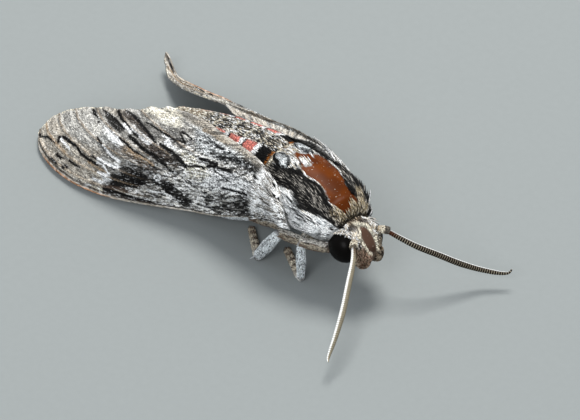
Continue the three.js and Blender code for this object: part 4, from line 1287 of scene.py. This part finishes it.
def paint_skin(skin):
    """Each part takes its coat's tints, darkened as painted shade under the coat; the rubbed back shows
    cuticle and the brow is bare.
    """
    points = points_of(skin)
    x = points[:, 0]
    middling = np.full(len(x), 0.45) + 0.3 * (noise(points, 0.5, 101) - 0.5)
    on_thorax = thorax_colours(x, angle_round(THORAX, points), middling) * SKIN_PAINTED_SHADE
    on_abdomen = abdomen_colours(x, angle_round(ABDOMEN, points), middling) * SKIN_PAINTED_SHADE
    on_head = head_colours(points, middling) * SKIN_PAINTED_SHADE
    colours = np.where((x > THORAX_END)[:, None], on_thorax, on_abdomen)
    colours = np.where((x > HEAD_END)[:, None], on_head, colours)
    back = bare_back(x, angle_round(THORAX, points)) * (points[:, 2] > 12) * (x > -18) * (x < -2.5)
    brow = bare_brow(points) * (x > -1.2)
    # darker blotches of the cuticle, and painted shade towards the front end of the bare back
    blotch_and_front_shade = 0.6 * smooth(0.3, 0.9, noise(points, 1.4, 102)) + 0.7 * smooth(-6.0, -4.0, x)
    worn = blend(tint("cuticle", x.shape), "cuticle_dark", blotch_and_front_shade)
    colours = colours + (worn - colours) * back[:, None]
    colours = blend(colours, "frons", brow)
    set_colours(skin, colours)
    set_values(skin, np.maximum(back, brow), "Bare")


# ---------- coat ----------

# a tuft has two rings of three corners and a tip: its faces, the painted shade and highlight of each point,
# and its OFBake patch
TUFT_FACES = [(0, 1, 4), (0, 4, 3), (1, 2, 5), (1, 5, 4), (2, 0, 3), (2, 3, 5)]
TUFT_FACES += [(3, 4, 6), (4, 5, 6), (5, 3, 6), (0, 2, 1)]
TUFT_PAINTED_SHADE_AND_HIGHLIGHT = np.array([0.65, 0.65, 0.7, 1.0, 1.0, 1.08, 0.9])
TUFT_PATCH = np.array([(-1, -1), (1, -1), (0, 0), (-1, 1), (1, 1), (0, 0.6), (0, 2)]) * 0.0015


def tufts(name, roots, normals, lie, length, width, lift, colours, places, material=COAT, slot="thorax_fur"):
    """Flat pointed tufts in one mesh: each grows out of the skin, then lies back along it.

    lift is the slope at the root; places are the roots' places on an unwrap of the skin, for OFBake.
    """
    count = len(roots)
    lie = unit(lie - normals * np.sum(lie * normals, -1, keepdims=True))
    across = np.cross(normals, lie)
    sizes = (np.asarray(size, float) for size in (length, width, lift))
    length, width, lift = (np.broadcast_to(size, count)[:, None] for size in sizes)
    root = roots - normals * 0.12
    middle = roots + lie * length * 0.5 + normals * length * lift * 0.42
    end = roots + lie * length + normals * length * lift * 0.55
    flat = width * 0.28
    ring0 = [root - across * width * 0.3, root + across * width * 0.3, root + normals * flat]
    ring1 = [middle - across * width * 0.5, middle + across * width * 0.5, middle + normals * flat]
    points = np.stack(ring0 + ring1 + [end], 1).reshape(-1, 3)
    faces = np.arange(count)[:, None, None] * len(TUFT_PAINTED_SHADE_AND_HIGHLIGHT) + np.array(TUFT_FACES)[None]
    piece = new_piece(name, points, faces.reshape(-1, 3), material)
    # each point's colour is darker at the root as painted shade between the tufts, and lighter on the ridge
    # as a painted highlight
    set_colours(piece, (colours[:, None] * TUFT_PAINTED_SHADE_AND_HIGHLIGHT[None, :, None]).reshape(-1, 3))
    patches = np.clip(places, 0.005, 0.995)[:, None] + TUFT_PATCH[None]
    set_map(piece, "OFBake", patches.reshape(-1, 2))


def seeds_on(body, front, rear, pitch, raise_at, inset, seed):
    """Evenly scattered places on a body: x, angle, point, outward normal and place on its unwrap."""
    rng = np.random.default_rng(seed)
    xs, angles = [], []
    for x in np.arange(front, rear, -pitch):
        top, bottom, half_width, _ = (float(k) for k in station_at(body["stations"], x))
        girth = np.pi * (half_width + (top - bottom) / 2)
        n = max(int(girth / pitch), 6)
        angles.append((np.arange(n) + rng.random(n)) * 2 * np.pi / n - np.pi)
        xs.append(np.full(n, x) + (rng.random(n) - 0.5) * pitch)
    x, angle = np.clip(np.concatenate(xs), rear, front), np.concatenate(angles)

    def surface(x, angle):
        return body_point(body, x, angle, raise_at(x, angle))

    point = body_point(body, x, angle, raise_at(x, angle) - inset)
    step = 0.02
    along = surface(x + step, angle) - surface(x - step, angle)
    across = surface(x, angle + step) - surface(x, angle - step)
    normal = unit(np.cross(along, across))
    normal *= np.sign(np.sum(normal * (point - axis_point(body, x)), -1, keepdims=True))
    places = np.stack([(front - x) / (front - rear), (angle + np.pi) / (2 * np.pi)], -1)
    return x, angle, point, normal, places, unit(-along), rng


def clear_of_eyes(point, gap):
    """True for the places that lie outside both eyes by the gap."""
    radii = np.array(EYE["radii"]) + gap
    near = [np.linalg.norm((point - mirror(s, EYE["at"][s])) / radii, axis=1) for s in SIDES]
    return np.min(near, axis=0) > 1


def thorax_coat():
    """Hair-scales swept back over the thorax, longest on the shoulder lappets, short behind the head."""
    x, angle, point, normal, places, lie, rng = seeds_on(
        THORAX, -2.5, THORAX_REAR, 0.16, thorax_raise, COAT_DEPTH["thorax"], 11
    )
    keep = (bare_back(x, angle) < 0.5) & clear_of_eyes(point, 0.2)
    x, angle, point, normal, places, lie = (k[keep] for k in (x, angle, point, normal, places, lie))
    luck = rng.random(len(x))
    flank = flank_of(angle)
    wave = (noise(np.stack([x, angle * GIRTH], -1), (2.5, 1.6), 111) - 0.5) * 0.7
    lie = unit(lie + np.cross(normal, lie) * wave[:, None])
    lappet = smooth(0.85, 0.6, flank) * smooth(-0.6, -0.3, flank)
    length = 1.15 + 0.7 * rng.random(len(x)) + 0.6 * lappet
    length *= 1 - 0.45 * smooth(-5.0, -3.0, x)
    width = 0.11 + 0.07 * rng.random(len(x)) + 0.03 * lappet
    lift = 0.06 + 0.12 * rng.random(len(x))
    lift *= 1 - 0.6 * smooth(-10.0, -7.0, x) * smooth(0.9, 0.6, flank)
    colours = thorax_colours(x - 0.4 * length, angle, luck)
    for side, half in (("right", np.cos(angle) < 0), ("left", np.cos(angle) >= 0)):
        parts = (k[half] for k in (point, normal, lie, length, width, lift, colours, places))
        tufts(f"thorax_coat_{side}", *parts)


def rear_tufts():
    """The ringed tuft on each side of the thorax's rear, and the fringe along its rim."""
    rng = np.random.default_rng(21)
    for k, side in enumerate(("left", "right")):
        count = 700
        around, out = rng.random(count) * 2 * np.pi, np.sqrt(rng.random(count))
        centre = TUFT_FLANK if side == "left" else np.pi - TUFT_FLANK
        x, angle = TUFT_X + 1.6 * out * np.cos(around), centre + 0.21 * out * np.sin(around)
        point = body_point(THORAX, x, angle, thorax_raise(x, angle) - 0.1)
        normal = unit(point - axis_point(THORAX, x))
        lie = np.stack([-1.0 + 0.9 * out * np.cos(around), 0 * x, 0.15 - 0.2 * out], -1)
        lie[:, 1] = 0.5 * out * np.sin(around)
        colours = striped(x.shape, "leg_blue", "blue_grey", "dark", rng.random(count), 0.35, 0.75)
        blot = 0.35 * (noise(np.stack([x, angle * GIRTH], -1), (0.8, 0.5), 22) - 0.5)
        outer = np.sin(around) * (1 if side == "right" else -1) - np.cos(around)
        colours = blend(colours, "black", smooth(0.5, 0.62, out + blot) * smooth(0.2, 0.8, outer))
        colours = blend(colours, "black", 0.85 * smooth(0.78, 0.88, out + blot))
        places = np.stack([(x + 18.5) / 20, 0.25 + 0.5 * k + 0.02 * out * np.sin(around)], -1)
        lift = 0.55 - 0.3 * out
        tufts(f"rear_tuft_{side}", point, normal, lie, 0.85, 0.17, lift, colours, places)
    count = 900
    angle = rng.random(count) * 1.9 + 0.62
    x = THORAX_REAR + 0.25 + 0.25 * rng.random(count)
    point = body_point(THORAX, x, angle, -0.25)
    normal = unit(point - axis_point(THORAX, x))
    lie = np.broadcast_to(np.array([-1.0, 0.0, -0.25]), point.shape)
    colours = striped(x.shape, "cream", "tan", "brown", rng.random(count), 0.55, 0.85)
    places = np.stack([0.5 + 0 * x, angle / 4], -1)
    tufts("rear_fringe", point, normal, lie, 0.75, 0.14, 0.2, colours, places)


def abdomen_coat():
    """Short scales swept back over the abdomen, longer at its end."""
    x, angle, point, normal, places, lie, rng = seeds_on(
        ABDOMEN, -18.3, -43.4, 0.2, level, COAT_DEPTH["abdomen"], 12
    )
    luck = rng.random(len(x))
    length = 0.7 + 0.35 * rng.random(len(x))
    length *= 1 + 0.5 * smooth(-40.0, -43.0, x)
    width = 0.14 + 0.07 * rng.random(len(x))
    lift = 0.14 + 0.12 * rng.random(len(x))
    colours = abdomen_colours(x - 0.4 * length, angle, luck)
    tufts("abdomen_coat", point, normal, lie, length, width, lift, colours, places, slot="abdomen_fur")


def head_coat():
    """Short scales, brushed back on the crown and down on the face, clear of the eyes and the bare brow."""
    x, angle, point, normal, places, lie, rng = seeds_on(
        HEAD, 1.95, -2.6, 0.12, level, COAT_DEPTH["head"], 13
    )
    keep = (bare_brow(point) < 0.5) & clear_of_eyes(point, 0.05)
    x, angle, point, normal, places, lie = (k[keep] for k in (x, angle, point, normal, places, lie))
    luck = rng.random(len(x))
    crown = smooth(10.0, 11.0, point[:, 2])
    face = np.array([0.3, 0.0, -1.0])
    down = unit(face - normal * (normal @ face)[:, None])
    swirl = (noise(point, 0.9, 112) - 0.5) * 1.6
    lie = unit(lie * crown[:, None] + down * (1 - crown)[:, None])
    lie = unit(lie + np.cross(normal, lie) * swirl[:, None])
    length = 0.45 + 0.3 * rng.random(len(x)) + 0.35 * crown
    width = 0.12 + 0.06 * rng.random(len(x))
    lift = 0.3 + 0.35 * rng.random(len(x))
    colours = head_colours(point, luck)
    tufts("head_coat", point, normal, lie, length, width, lift, colours, places, slot="head_fur")


EYE_FRINGE = {"right": 52, "left": 75}  # degrees of each eye's inner side that the fringe grows over


def eye_fringe():
    """Longer hairs from the lappet and the crown that fall over the upper and rear rim of each eye."""
    for side in SIDES:
        rng = np.random.default_rng(31)
        count = 1500
        centre, radii = mirror(side, EYE["at"][side]), np.array(EYE["radii"])
        outward = unit(mirror(side, (0.45, 0.85, -0.3)))
        up = unit(mirror(side, (-0.5, -0.1, 1.0)))
        up = unit(up - outward * (up @ outward))
        ahead = np.cross(outward, up)
        turn = 3.4 * (rng.random(count) - 0.5)
        polar = np.radians(158 - EYE_FRINGE[side] * rng.random(count))
        normal = outward * np.cos(polar)[:, None] + (
            up * np.cos(turn)[:, None] + ahead * np.sin(turn)[:, None]
        ) * np.sin(polar)[:, None]
        point = centre + normal * radii * 1.02
        sweep = outward + (0.5, 0, 0)
        lie = sweep - normal * (normal @ sweep)[:, None]
        lie = unit(lie + 0.2 * rng.normal(0, 1, (count, 3)))
        colours = striped(turn.shape, "hair_white", "head_light", "dark", rng.random(count), 0.5, 0.8)
        places = np.stack([0.5 + turn / 7, polar / 2], -1)
        length = 0.6 + 0.5 * rng.random(count)
        tufts(f"eye_fringe_{side}", point, normal, lie, length, 0.14, 0.2, colours, places, slot="head_fur")


def tube_coat(name, at, radii, count, sink, stray, size, lift, colours_of, material, slot):
    """Scales all round a tube, lying along it.

    size is their mean length and width, and stray is how far they lean off.
    """
    rng = np.random.default_rng(len(name))
    t, turn = 0.97 * rng.random(count), rng.random(count) * 2 * np.pi
    ahead = unit(at(t + 0.02) - at(t))
    side_on = unit(np.cross(ahead, np.array([0.0, 0.0, 1.0])))
    normal = side_on * np.cos(turn)[:, None] + np.cross(side_on, ahead) * np.sin(turn)[:, None]
    point = at(t) + normal * (np.interp(t, *np.array(radii).T) - sink)[:, None]
    lie = unit(ahead + stray * rng.normal(0, 1, (count, 3)))
    colours = colours_of(t, normal, point, rng.random(count))
    length, width = (mean * (0.75 + 0.5 * rng.random(count)) for mean in size)
    places = np.stack([t, turn / 6.3], -1)
    tufts(name, point, normal, lie, length, width, lift, colours, places, material, slot)


def palp_colours(t, normal, point, luck):
    """The palps are coloured like the head."""
    return head_colours(point, luck)


def palp_coat(side):
    """Dense short scales all over a palp."""
    tube_coat(
        f"palp_coat_{side}",
        curve(mirror(side, PALP["path"])),
        PALP["radii"],
        count=2200,
        sink=0.08,
        stray=0.3,
        size=(0.55, 0.13),
        lift=0.2,
        colours_of=palp_colours,
        material=COAT,
        slot="head_fur",
    )


def wing_scales(side):
    """Flat scales in rows that overlap like tiles on the forewing's upper side, hair-like near the body."""
    surface = FORE_SURFACES[side]
    rng = np.random.default_rng(41)
    rows = []
    for u in np.arange(0.0, 0.985, 0.0082):
        chord = np.linalg.norm(surface(u, 1.0)[0] - surface(u, 0.0)[0])
        n = int(chord * (1.06 if u < 0.1 else 1.0) / 0.165)
        v = (np.arange(n) + rng.random(n)) / n
        rows.append(np.stack([u + (rng.random(n) - 0.5) * 0.008, v], -1))
    uv = np.clip(np.vstack(rows), 0, 1)
    u, v = uv.T
    points, normals = surface(u, v)
    lie_at, chord = wing_lie(surface, u, v)
    ahead = unit(surface(np.clip(u + 0.01, 0, 1), v)[0] - surface(np.clip(u - 0.01, 0, 1), v)[0])
    hairy = 1 - smooth(0.0, 0.4, u)
    length = 0.42 + 0.2 * rng.random(len(u)) + 0.7 * hairy
    seen_u = np.clip(u + 0.6 * length / WING_LENGTH, 0, 1)
    seen_at = np.stack([lie_at[:, 0] + 0.6 * length, lie_at[:, 1]], -1)
    colours = forewing_colours(surface, np.stack([seen_u, v], -1), surface(seen_u, v)[0], seen_at)
    colours = colours * (0.75 + 0.5 * rng.random(len(u)))[:, None]
    roots = points + normals * (CAD_HALF_THICKNESS - 0.04 + wing_relief(u, v, lie_at, chord, VEINS))[:, None]
    sway = (rng.random(len(u)) - 0.5) * (0.3 + 0.4 * hairy)
    ahead = unit(ahead + np.cross(normals, ahead) * sway[:, None])
    width = 0.17 + 0.05 * rng.random(len(u)) - 0.04 * hairy
    lift = 0.07 + 0.08 * rng.random(len(u)) + 0.12 * hairy
    keep = (v > 0.02) & (v < 0.985)
    colours = np.clip(colours, 0, 0.9)
    parts = (k[keep] for k in (roots, normals, ahead, length, width, lift, colours, wing_map(u, v)))
    tufts(f"forewing_scales_{side}", *parts, material=WING_TUFTS, slot="forewing")


def wing_fringe(side):
    """The chequered fringe of the outer margin: cream between the veins, brown at their ends."""
    surface = FORE_SURFACES[side]
    rng = np.random.default_rng(43)
    count = 1500
    v = rng.random(count)
    points, normals = surface(np.full(count, 0.996), v)
    outward = margin_direction(surface, v)
    rise = 0.12 * rng.random(count) + 0.05
    points = points + outward * (scallop(v) - 0.25)[:, None] + normals * rise[:, None]
    bulge = scallop(v) / (0.15 + 0.35 * v)
    colours = blend(tint("cream", v.shape), "beige", 0.7 * rng.random(count))
    colours = blend(colours, "dark_brown", 0.9 * (1 - smooth(0.35, 0.6, bulge)))
    length = 0.35 + 0.2 * rng.random(count)
    places = np.stack([np.full(count, 0.985), v * 0.47 + 0.01], -1)
    name = f"forewing_fringe_{side}"
    tufts(name, points, normals, outward, length, 0.15, 0.05, colours, places, slot="forewing")


def shoulder_hair(side):
    """Long hair of the lappet that hides the wing's root."""
    surface = FORE_SURFACES[side]
    rng = np.random.default_rng(47)
    count = 2600
    u, v = 0.13 * rng.random(count) ** 1.4, rng.random(count)
    points, normals = surface(u, v)
    ahead = unit(surface(u + 0.02, v)[0] - surface(u, v)[0])
    lie = unit(ahead + 0.12 * rng.normal(0, 1, (count, 3)))
    streak = noise(np.stack([u * 50, v * 14], -1), (3.0, 0.5), 48)
    mix = tuft_mix(streak, rng.random(count), 0.6, 0.5)
    colours = striped(v.shape, "hair_white", "hair_grey", "black", mix, 0.52, 0.7)
    roots = points + normals * (CAD_HALF_THICKNESS + 0.02)
    length = 1.3 + 1.0 * rng.random(count)
    lift = 0.16 + 0.12 * rng.random(count)
    tufts(f"shoulder_hair_{side}", roots, normals, lie, length, 0.2, lift, colours, wing_map(u, v))


skin = body_skin()
paint_skin(skin)
thorax_coat()
abdomen_coat()
rear_tufts()
head_coat()
eye_fringe()
for side in SIDES:
    palp_coat(side)
for side in SIDES:
    wing_scales(side)
    wing_fringe(side)
    shoulder_hair(side)


# ---------- eyes ----------


def eye(side):
    """An eye as a ball, a little flattened sideways."""
    at = place(mirror(side, EYE["at"][side]))
    bpy.ops.object.select_all(action="DESELECT")
    bpy.ops.mesh.primitive_uv_sphere_add(
        segments=64, ring_count=40, radius=1.0, location=at, rotation=(math.pi / 2, 0, 0)
    )
    piece = bpy.context.view_layer.objects.active
    piece.name = piece.data.name = f"eye_ball_{side}"
    long_, wide, high = EYE["radii"]
    piece.scale = (long_ * MM, high * MM, wide * MM)
    bpy.ops.object.transform_apply(location=True, rotation=True, scale=True)
    bpy.ops.object.shade_smooth()
    dress(piece, EYE_GLOSS)
    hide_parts(f"eye_{side}")


for side in SIDES:
    eye(side)

# ---------- antennae ----------

ANTENNA_RADII = [(0, 0.32), (0.25, 0.43), (0.6, 0.45), (0.86, 0.34), (0.95, 0.22), (1, 0.1)]
COMB_WEAR = {"right": 0.65, "left": 1.0}  # how far the scales are rubbed off the dark comb side
GAP_TAN = {"right": 0.85, "left": 0.35}  # share of tan in the gaps between the rings
SCAPE_DARK = {"right": 0.72, "left": 0.42}  # share of each scape where its dark scales start
ANTENNA_PATHS = {
    "right": [(1.1, 3.2, 10.95), (2.84, 4.85, 10.3), (5.59, 8.33, 8.94), (7.9, 11.47, 7.19)]
    + [(9.72, 14.57, 5.11), (11.0, 17.1, 3.3), (11.7, 17.75, 3.35)],
    "left": [(1.1, 3.25, 10.6), (2.21, 3.85, 10.1), (5.12, 5.67, 8.7), (7.3, 8.25, 6.9), (9.3, 10.98, 4.9)]
    + [(11.2, 13.8, 3.25), (13.3, 16.0, 2.65), (13.95, 16.8, 2.75), (14.0, 17.3, 3.15)],
}
ANTENNA_RINGS = 58
RING_PROFILE = [(0.0, 0.9), (0.12, 1.0), (0.78, 1.03), (0.9, 0.97)]  # share of the ring, radius
SCAPE_RADII = [(0, 0.45), (0.5, 0.55), (0.85, 0.5), (1, 0.38)]


def closed_tube(name, rings, colours, material):
    """A closed mesh through rings, with one colour for each point of each ring."""
    count, n = rings.shape[:2]
    at = np.arange(count * n).reshape(count, n)
    a, b = at[:-1], at[1:]
    quads = np.stack([a, b, np.roll(b, -1, 1), np.roll(a, -1, 1)], -1).reshape(-1, 4)
    triangles = np.vstack([quads[:, [0, 1, 2]], quads[:, [0, 2, 3]]])
    caps = []
    for row, hub in ((0, count * n), (count - 1, count * n + 1)):
        ring, after = at[row], np.roll(at[row], -1)
        pair = (ring, after) if row == 0 else (after, ring)
        caps.append(np.stack([np.full(n, hub), *pair], -1))
    points = np.vstack([rings.reshape(-1, 3), rings[[0, -1]].mean(1)])
    piece = new_piece(name, points, np.vstack([triangles, *caps]), material)
    set_colours(piece, np.vstack([colours.reshape(-1, 3), colours[[0, -1]].mean(1)]))
    return piece


def scape_colours(t, luck, dark_from):
    """Cream scales, and dark ones from the given share of the scape to where the whip starts."""
    pale = striped(t.shape, "cream", "head_light", "brown", luck, 0.5, 0.85)
    return blend(pale, "dark_brown", 0.85 * smooth(dark_from, dark_from + 0.1, t))


def whip(side):
    """The ringed whip: pale above, with white scales, and a dark comb side below."""
    at = curve(mirror(side, ANTENNA_PATHS[side]))
    pitch = 1 / ANTENNA_RINGS
    rows = []
    for k in range(ANTENNA_RINGS):
        rows += [(k * pitch + share * pitch, scale, share) for share, scale in RING_PROFILE]
    t, scale, share = np.array(rows + [(1.0, 0.5, 0.5)]).T
    centre = at(t)
    along = unit(np.gradient(at(np.clip(t, 0, 1)), t, axis=0))
    dorsal = mirror(side, (-0.66, 0.75, 0.55))
    back = unit(dorsal - along * (along @ dorsal)[:, None])
    sideways = np.cross(along, back)
    n = 16
    turn = 2 * np.pi * np.arange(n) / n
    out = back[:, None] * np.cos(turn)[None, :, None] + sideways[:, None] * np.sin(turn)[None, :, None]
    radius = np.interp(t, *np.array(ANTENNA_RADII).T) * scale
    under = smooth(0.6, 0.35, np.cos(turn))[None, :]
    gap = np.broadcast_to((share[:, None] < 0.06) | (share[:, None] > 0.84), (len(t), n))
    comb = 0.12 * under * ~gap
    rings = centre[:, None] + out * (radius[:, None] * (1 + comb))[..., None]
    colours = tint("ring_cream", (len(t), n))
    colours = blend(colours, "white", 0.95 * smooth(0.5, 0.68, np.broadcast_to(np.cos(turn), (len(t), n))))
    colours = blend(colours, "ring_tan", GAP_TAN[side] * gap + 0.6 * under * (1 - COMB_WEAR[side]))
    tick = gap * smooth(0.25, -0.05, np.cos(turn))[None, :]
    colours = blend(colours, "ring_brown", COMB_WEAR[side] * under * (1 - 0.7 * tick))
    base = smooth(0.12, 0.04, t)[:, None] * smooth(0.9, 0.5, np.cos(turn))[None, :]
    colours = blend(colours, "cuticle_dark", 0.9 * base * COMB_WEAR[side])
    return closed_tube(f"antenna_whip_{side}", rings, colours, ANTENNA_SCALES)


def scape(side):
    """The thick first joint of an antenna, with its coat."""
    socket = mirror(side, SOCKET)
    start = mirror(side, ANTENNA_PATHS[side][0])
    outward = unit(start - socket)

    def line(t):
        return start - outward * 1.2 + outward * 1.6 * np.asarray(t)[..., None]

    def colours_of(t, normal, point, luck):
        return scape_colours(t, luck, SCAPE_DARK[side])

    rings, _ = tube_rings(line, SCAPE_RADII, 12, 20)
    ground = tint("head_beige", rings.shape[:2])
    closed_tube(f"antenna_scape_{side}", rings[:, ::-1], ground, ANTENNA_SCALES)
    tube_coat(
        f"scape_coat_{side}",
        line,
        SCAPE_RADII,
        count=520,
        sink=-0.04,
        stray=0.3,
        size=(0.4, 0.13),
        lift=0.12,
        colours_of=colours_of,
        material=COAT,
        slot="antenna",
    )


for side in SIDES:
    piece = whip(side)
    scape(side)
    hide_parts(f"antenna_{side}")

# ---------- legs ----------

LEGS = {
    "fore": {
        "root": (-4.7, 2.4, 7.6), "trochanter": (-4.7, 3.4, 7.1), "knee": (-7.5, 6.15, 8.0),
        "ankle": (-7.7, 5.9, 0.95), "toe": (-14.1, 3.0, 0.3), "spurs": (), "girth": 0.85,
    },
    "mid": {
        "root": (-9.6, 2.6, 6.2), "trochanter": (-9.6, 3.7, 5.3), "knee": (-12.0, 6.4, 7.1),
        "ankle": (-15.7, 7.5, 0.95), "toe": (-21.4, 3.8, 0.3), "spurs": (0.88,), "girth": 1.15,
    },
    "hind": {
        "root": (-15.0, 2.4, 6.0), "trochanter": (-15.8, 3.2, 4.6), "knee": (-19.9, 5.0, 4.6),
        "ankle": (-28.0, 5.6, 0.95), "toe": (-36.4, 6.6, 0.3), "spurs": (0.55, 0.9), "girth": 1.0,
    },
}
# share of the limb's length, radius
LIMB_RADII = {
    "coxa": [(0, 0.95), (0.9, 0.72), (1, 0.5)],
    "femur": [(0, 0.72), (0.5, 0.78), (0.95, 0.62), (1, 0.3)],
    "tibia": [(0, 0.4), (0.06, 0.66), (0.5, 0.84), (0.95, 0.62), (1, 0.4)],
    "foot": [(0, 0.45)],
}
for k in range(5):
    LIMB_RADII["foot"] += [(k / 5 + 0.02, 0.5), (k / 5 + 0.16, 0.66 - 0.03 * k)]
LIMB_RADII["foot"] += [(1, 0.3)]
SCALES_PER_MM = 170  # along a limb
CLAW = {"length": 1.1, "radius": 0.2, "lean": 0.5, "dip": 0.05, "sink": 0.3}
SPUR = {"length": 1.95, "radius": 0.25, "lean": 0.75, "droop": 0.35}


def speckled(colours, luck):
    """Uneven scales, with a few dark ones among them."""
    colours = colours * (0.75 + 0.5 * luck)[:, None]
    return np.clip(blend(colours, "soot", 0.85 * (luck < 0.17)), 0, 0.93)


def limb(name, start, end, radii, colours_of):
    """One limb as a closed tube, with short flat scales along it."""

    def line(t):
        return start + (end - start) * np.asarray(t, float)[..., None]

    def scale_colours(t, normal, point, luck):
        return speckled(colours_of(t, normal), luck)

    steps, sides = 22, 18
    rings, out = tube_rings(line, radii, steps, sides)
    t = np.broadcast_to(np.linspace(0, 1, steps)[:, None], (steps, sides))
    # the tube under the scales takes their colours at 0.7: painted shade under the scales
    piece = closed_tube(name, rings[:, ::-1], colours_of(t, out)[:, ::-1] * 0.7, LEG_SCALES)
    tube_coat(
        f"{name}_scales",
        line,
        radii,
        count=int(np.linalg.norm(end - start) * SCALES_PER_MM),
        sink=-0.03,
        stray=0.08,
        size=(0.6, 0.14),
        lift=0.08,
        colours_of=scale_colours,
        material=LEG_SCALES,
        slot="leg",
    )
    return piece


def leg_streaks(t, out, seed):
    """0 to 1 in narrow lines along a limb."""
    turn = np.arctan2(out[..., 2], out[..., 1])
    return smooth(0.6, 0.75, noise(np.stack([t, turn], -1), (0.4, 0.35), seed))


def shin_colours(t, out):
    """Bluish white with fine dark streaks and a brown end; greyer underneath as painted shade."""
    # greyer where the tube faces down: painted shade
    pale = blend(tint("leg_blue", np.shape(t)), "leg_grey", 0.4 * smooth(0.0, -0.6, out[..., 2]))
    pale = blend(pale, "soot", 0.5 * leg_streaks(t, out, 51))
    return blend(pale, "joint_brown", 0.85 * smooth(0.9, 0.98, t) + 0.5 * smooth(0.06, 0.0, t))


def thigh_colours(t, out):
    """Beige with brown streaks; paler above as painted light and browner below as painted shade."""
    # browner where the tube faces down as painted shade, and whiter where it faces up as painted light
    pale = blend(tint("hair_beige", np.shape(t)), "brown", 0.45 * smooth(0.2, -0.4, out[..., 2]))
    pale = blend(pale, "hair_white", 0.45 * smooth(0.55, 0.8, out[..., 2]))
    return blend(pale, "joint_brown", 0.75 * leg_streaks(t, out, 52))


def foot_colours(t, out):
    """Cream and tan, with a brown ring at the end of each joint."""
    ring = (np.asarray(t) * 5) % 1
    worn = blend(tint("cream", np.shape(t)), "tan", 0.3 + 0.4 * smooth(0.5, 0.9, t))
    worn = blend(worn, "joint_brown", 0.85 * smooth(0.5, 0.7, ring) * smooth(-0.9, 0.1, out[..., 0]))
    return blend(worn, "leg_blue", 0.6 * smooth(0.2, 0.05, t))


def spike(name, root, direction, length, radius, colour, material):
    """A slim pointed cone, bent a little downwards."""
    ahead, droop = unit(np.asarray(direction, float)), np.array([0, 0, 0.06])

    def line(t):
        return root + ahead * length * t[..., None] - droop * t[..., None] ** 2

    rings, _ = tube_rings(line, [(0, radius), (0.6, radius * 0.6), (1, radius * 0.08)], 10, 12)
    closed_tube(name, rings[:, ::-1], tint(colour, rings.shape[:2]), material)


def claws(whole, start, end):
    """Two claws, spread at the end of the foot."""
    along = unit((end - start) * (1, 1, 0))
    across = np.array([-along[1], along[0], 0])
    for k, turn in enumerate((-1, 1)):
        ahead = along + across * CLAW["lean"] * turn - (0, 0, CLAW["dip"])
        root = end - along * CLAW["sink"]
        spike(f"{whole}_claw_{k}", root, ahead, CLAW["length"], CLAW["radius"], "dark_brown", HORN)


def spurs(whole, start, end, share):
    """A pair of spurs at the given share of the shin."""
    along = unit(end - start)
    across = unit(np.cross((0, 0, 1), along))
    for k, turn in enumerate((-1, 1)):
        ahead = along + across * SPUR["lean"] * turn
        ahead[2] = along[2] * SPUR["droop"]
        root = start + (end - start) * share
        name = f"{whole}_spur_{round(share * 100)}_{k}"
        spike(name, root, ahead, SPUR["length"], SPUR["radius"], "leg_grey", LEG_SCALES)


def leg(name, joints, side):
    """A leg with its coxa, femur, tibia, foot, claws and spurs."""
    spot = {key: mirror(side, joints[key]) for key in ("root", "trochanter", "knee", "ankle", "toe")}
    whole = f"leg_{name}_{side}"
    thigh = limb(f"{whole}_femur", spot["trochanter"], spot["knee"], LIMB_RADII["femur"], thigh_colours)
    limb(f"{whole}_coxa", spot["root"], spot["trochanter"], LIMB_RADII["coxa"], thigh_colours)
    shin = [(share, radius * joints["girth"]) for share, radius in LIMB_RADII["tibia"]]
    limb(f"{whole}_tibia", spot["knee"], spot["ankle"], shin, shin_colours)
    foot_start = spot["ankle"] + (spot["toe"] - spot["ankle"]) * (0, 0, 0.75)
    limb(f"{whole}_foot", foot_start, spot["toe"] + (0, 0, 0.08), LIMB_RADII["foot"], foot_colours)
    claws(whole, foot_start, spot["toe"])
    for share in joints["spurs"]:
        spurs(whole, spot["knee"], spot["ankle"], share)
    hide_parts(whole)


for name, joints in LEGS.items():
    for side in SIDES:
        leg(name, joints, side)

# ---------- floor, light and camera ----------

bpy.ops.object.select_all(action="DESELECT")
bpy.ops.mesh.primitive_plane_add(size=3.0, location=(0, 0, -0.00002))
floor = bpy.context.view_layer.objects.active
floor.name = "floor"
bpy.ops.object.transform_apply(location=True, rotation=True, scale=True)
floor.data.materials.append(studio_floor())

AZIMUTH, ELEVATION = math.radians(48.5), math.radians(40.0)
DISTANCE, LENS = 1.3, 532.5
TARGET = Vector(place((-16.9, 0.0, 5.0)))
BACK = Vector(
    (
        math.sin(AZIMUTH) * math.cos(ELEVATION),
        -math.cos(AZIMUTH) * math.cos(ELEVATION),
        math.sin(ELEVATION),
    )
)
lens = bpy.data.cameras.new("camera")
lens.lens, lens.sensor_width = LENS, 36.0
lens.clip_start, lens.clip_end = 0.05, 20.0
camera = bpy.data.objects.new("camera", lens)
bpy.context.scene.collection.objects.link(camera)
camera.location = TARGET + BACK * DISTANCE
camera.rotation_euler = (-BACK).to_track_quat("-Z", "Y").to_euler()
bpy.context.scene.camera = camera
bpy.context.scene.view_settings.view_transform = "Standard"


def soft_light(name, direction, distance, size, power, colour=(1, 1, 1)):
    """A round lamp aimed at the middle of the scene."""
    light = bpy.data.lights.new(name, "AREA")
    light.shape, light.size, light.energy, light.color = "DISK", size, power, colour
    lamp = bpy.data.objects.new(name, light)
    bpy.context.scene.collection.objects.link(lamp)
    away = Vector(direction).normalized()
    lamp.location = away * distance
    lamp.rotation_euler = (-away).to_track_quat("-Z", "Y").to_euler()


soft_light("key", (-0.25, 0.35, 1.0), 0.7, 0.3, 6.0, (1.0, 0.98, 0.95))
soft_light("fill", (0.5, -0.9, 0.8), 0.8, 0.4, 3.2, (0.98, 0.99, 1.0))
world = bpy.data.worlds.new("studio")
bpy.context.scene.world = world
world.use_nodes = True
world.node_tree.nodes["Background"].inputs["Color"].default_value = (0.86, 0.9, 0.95, 1)
world.node_tree.nodes["Background"].inputs["Strength"].default_value = 0.7
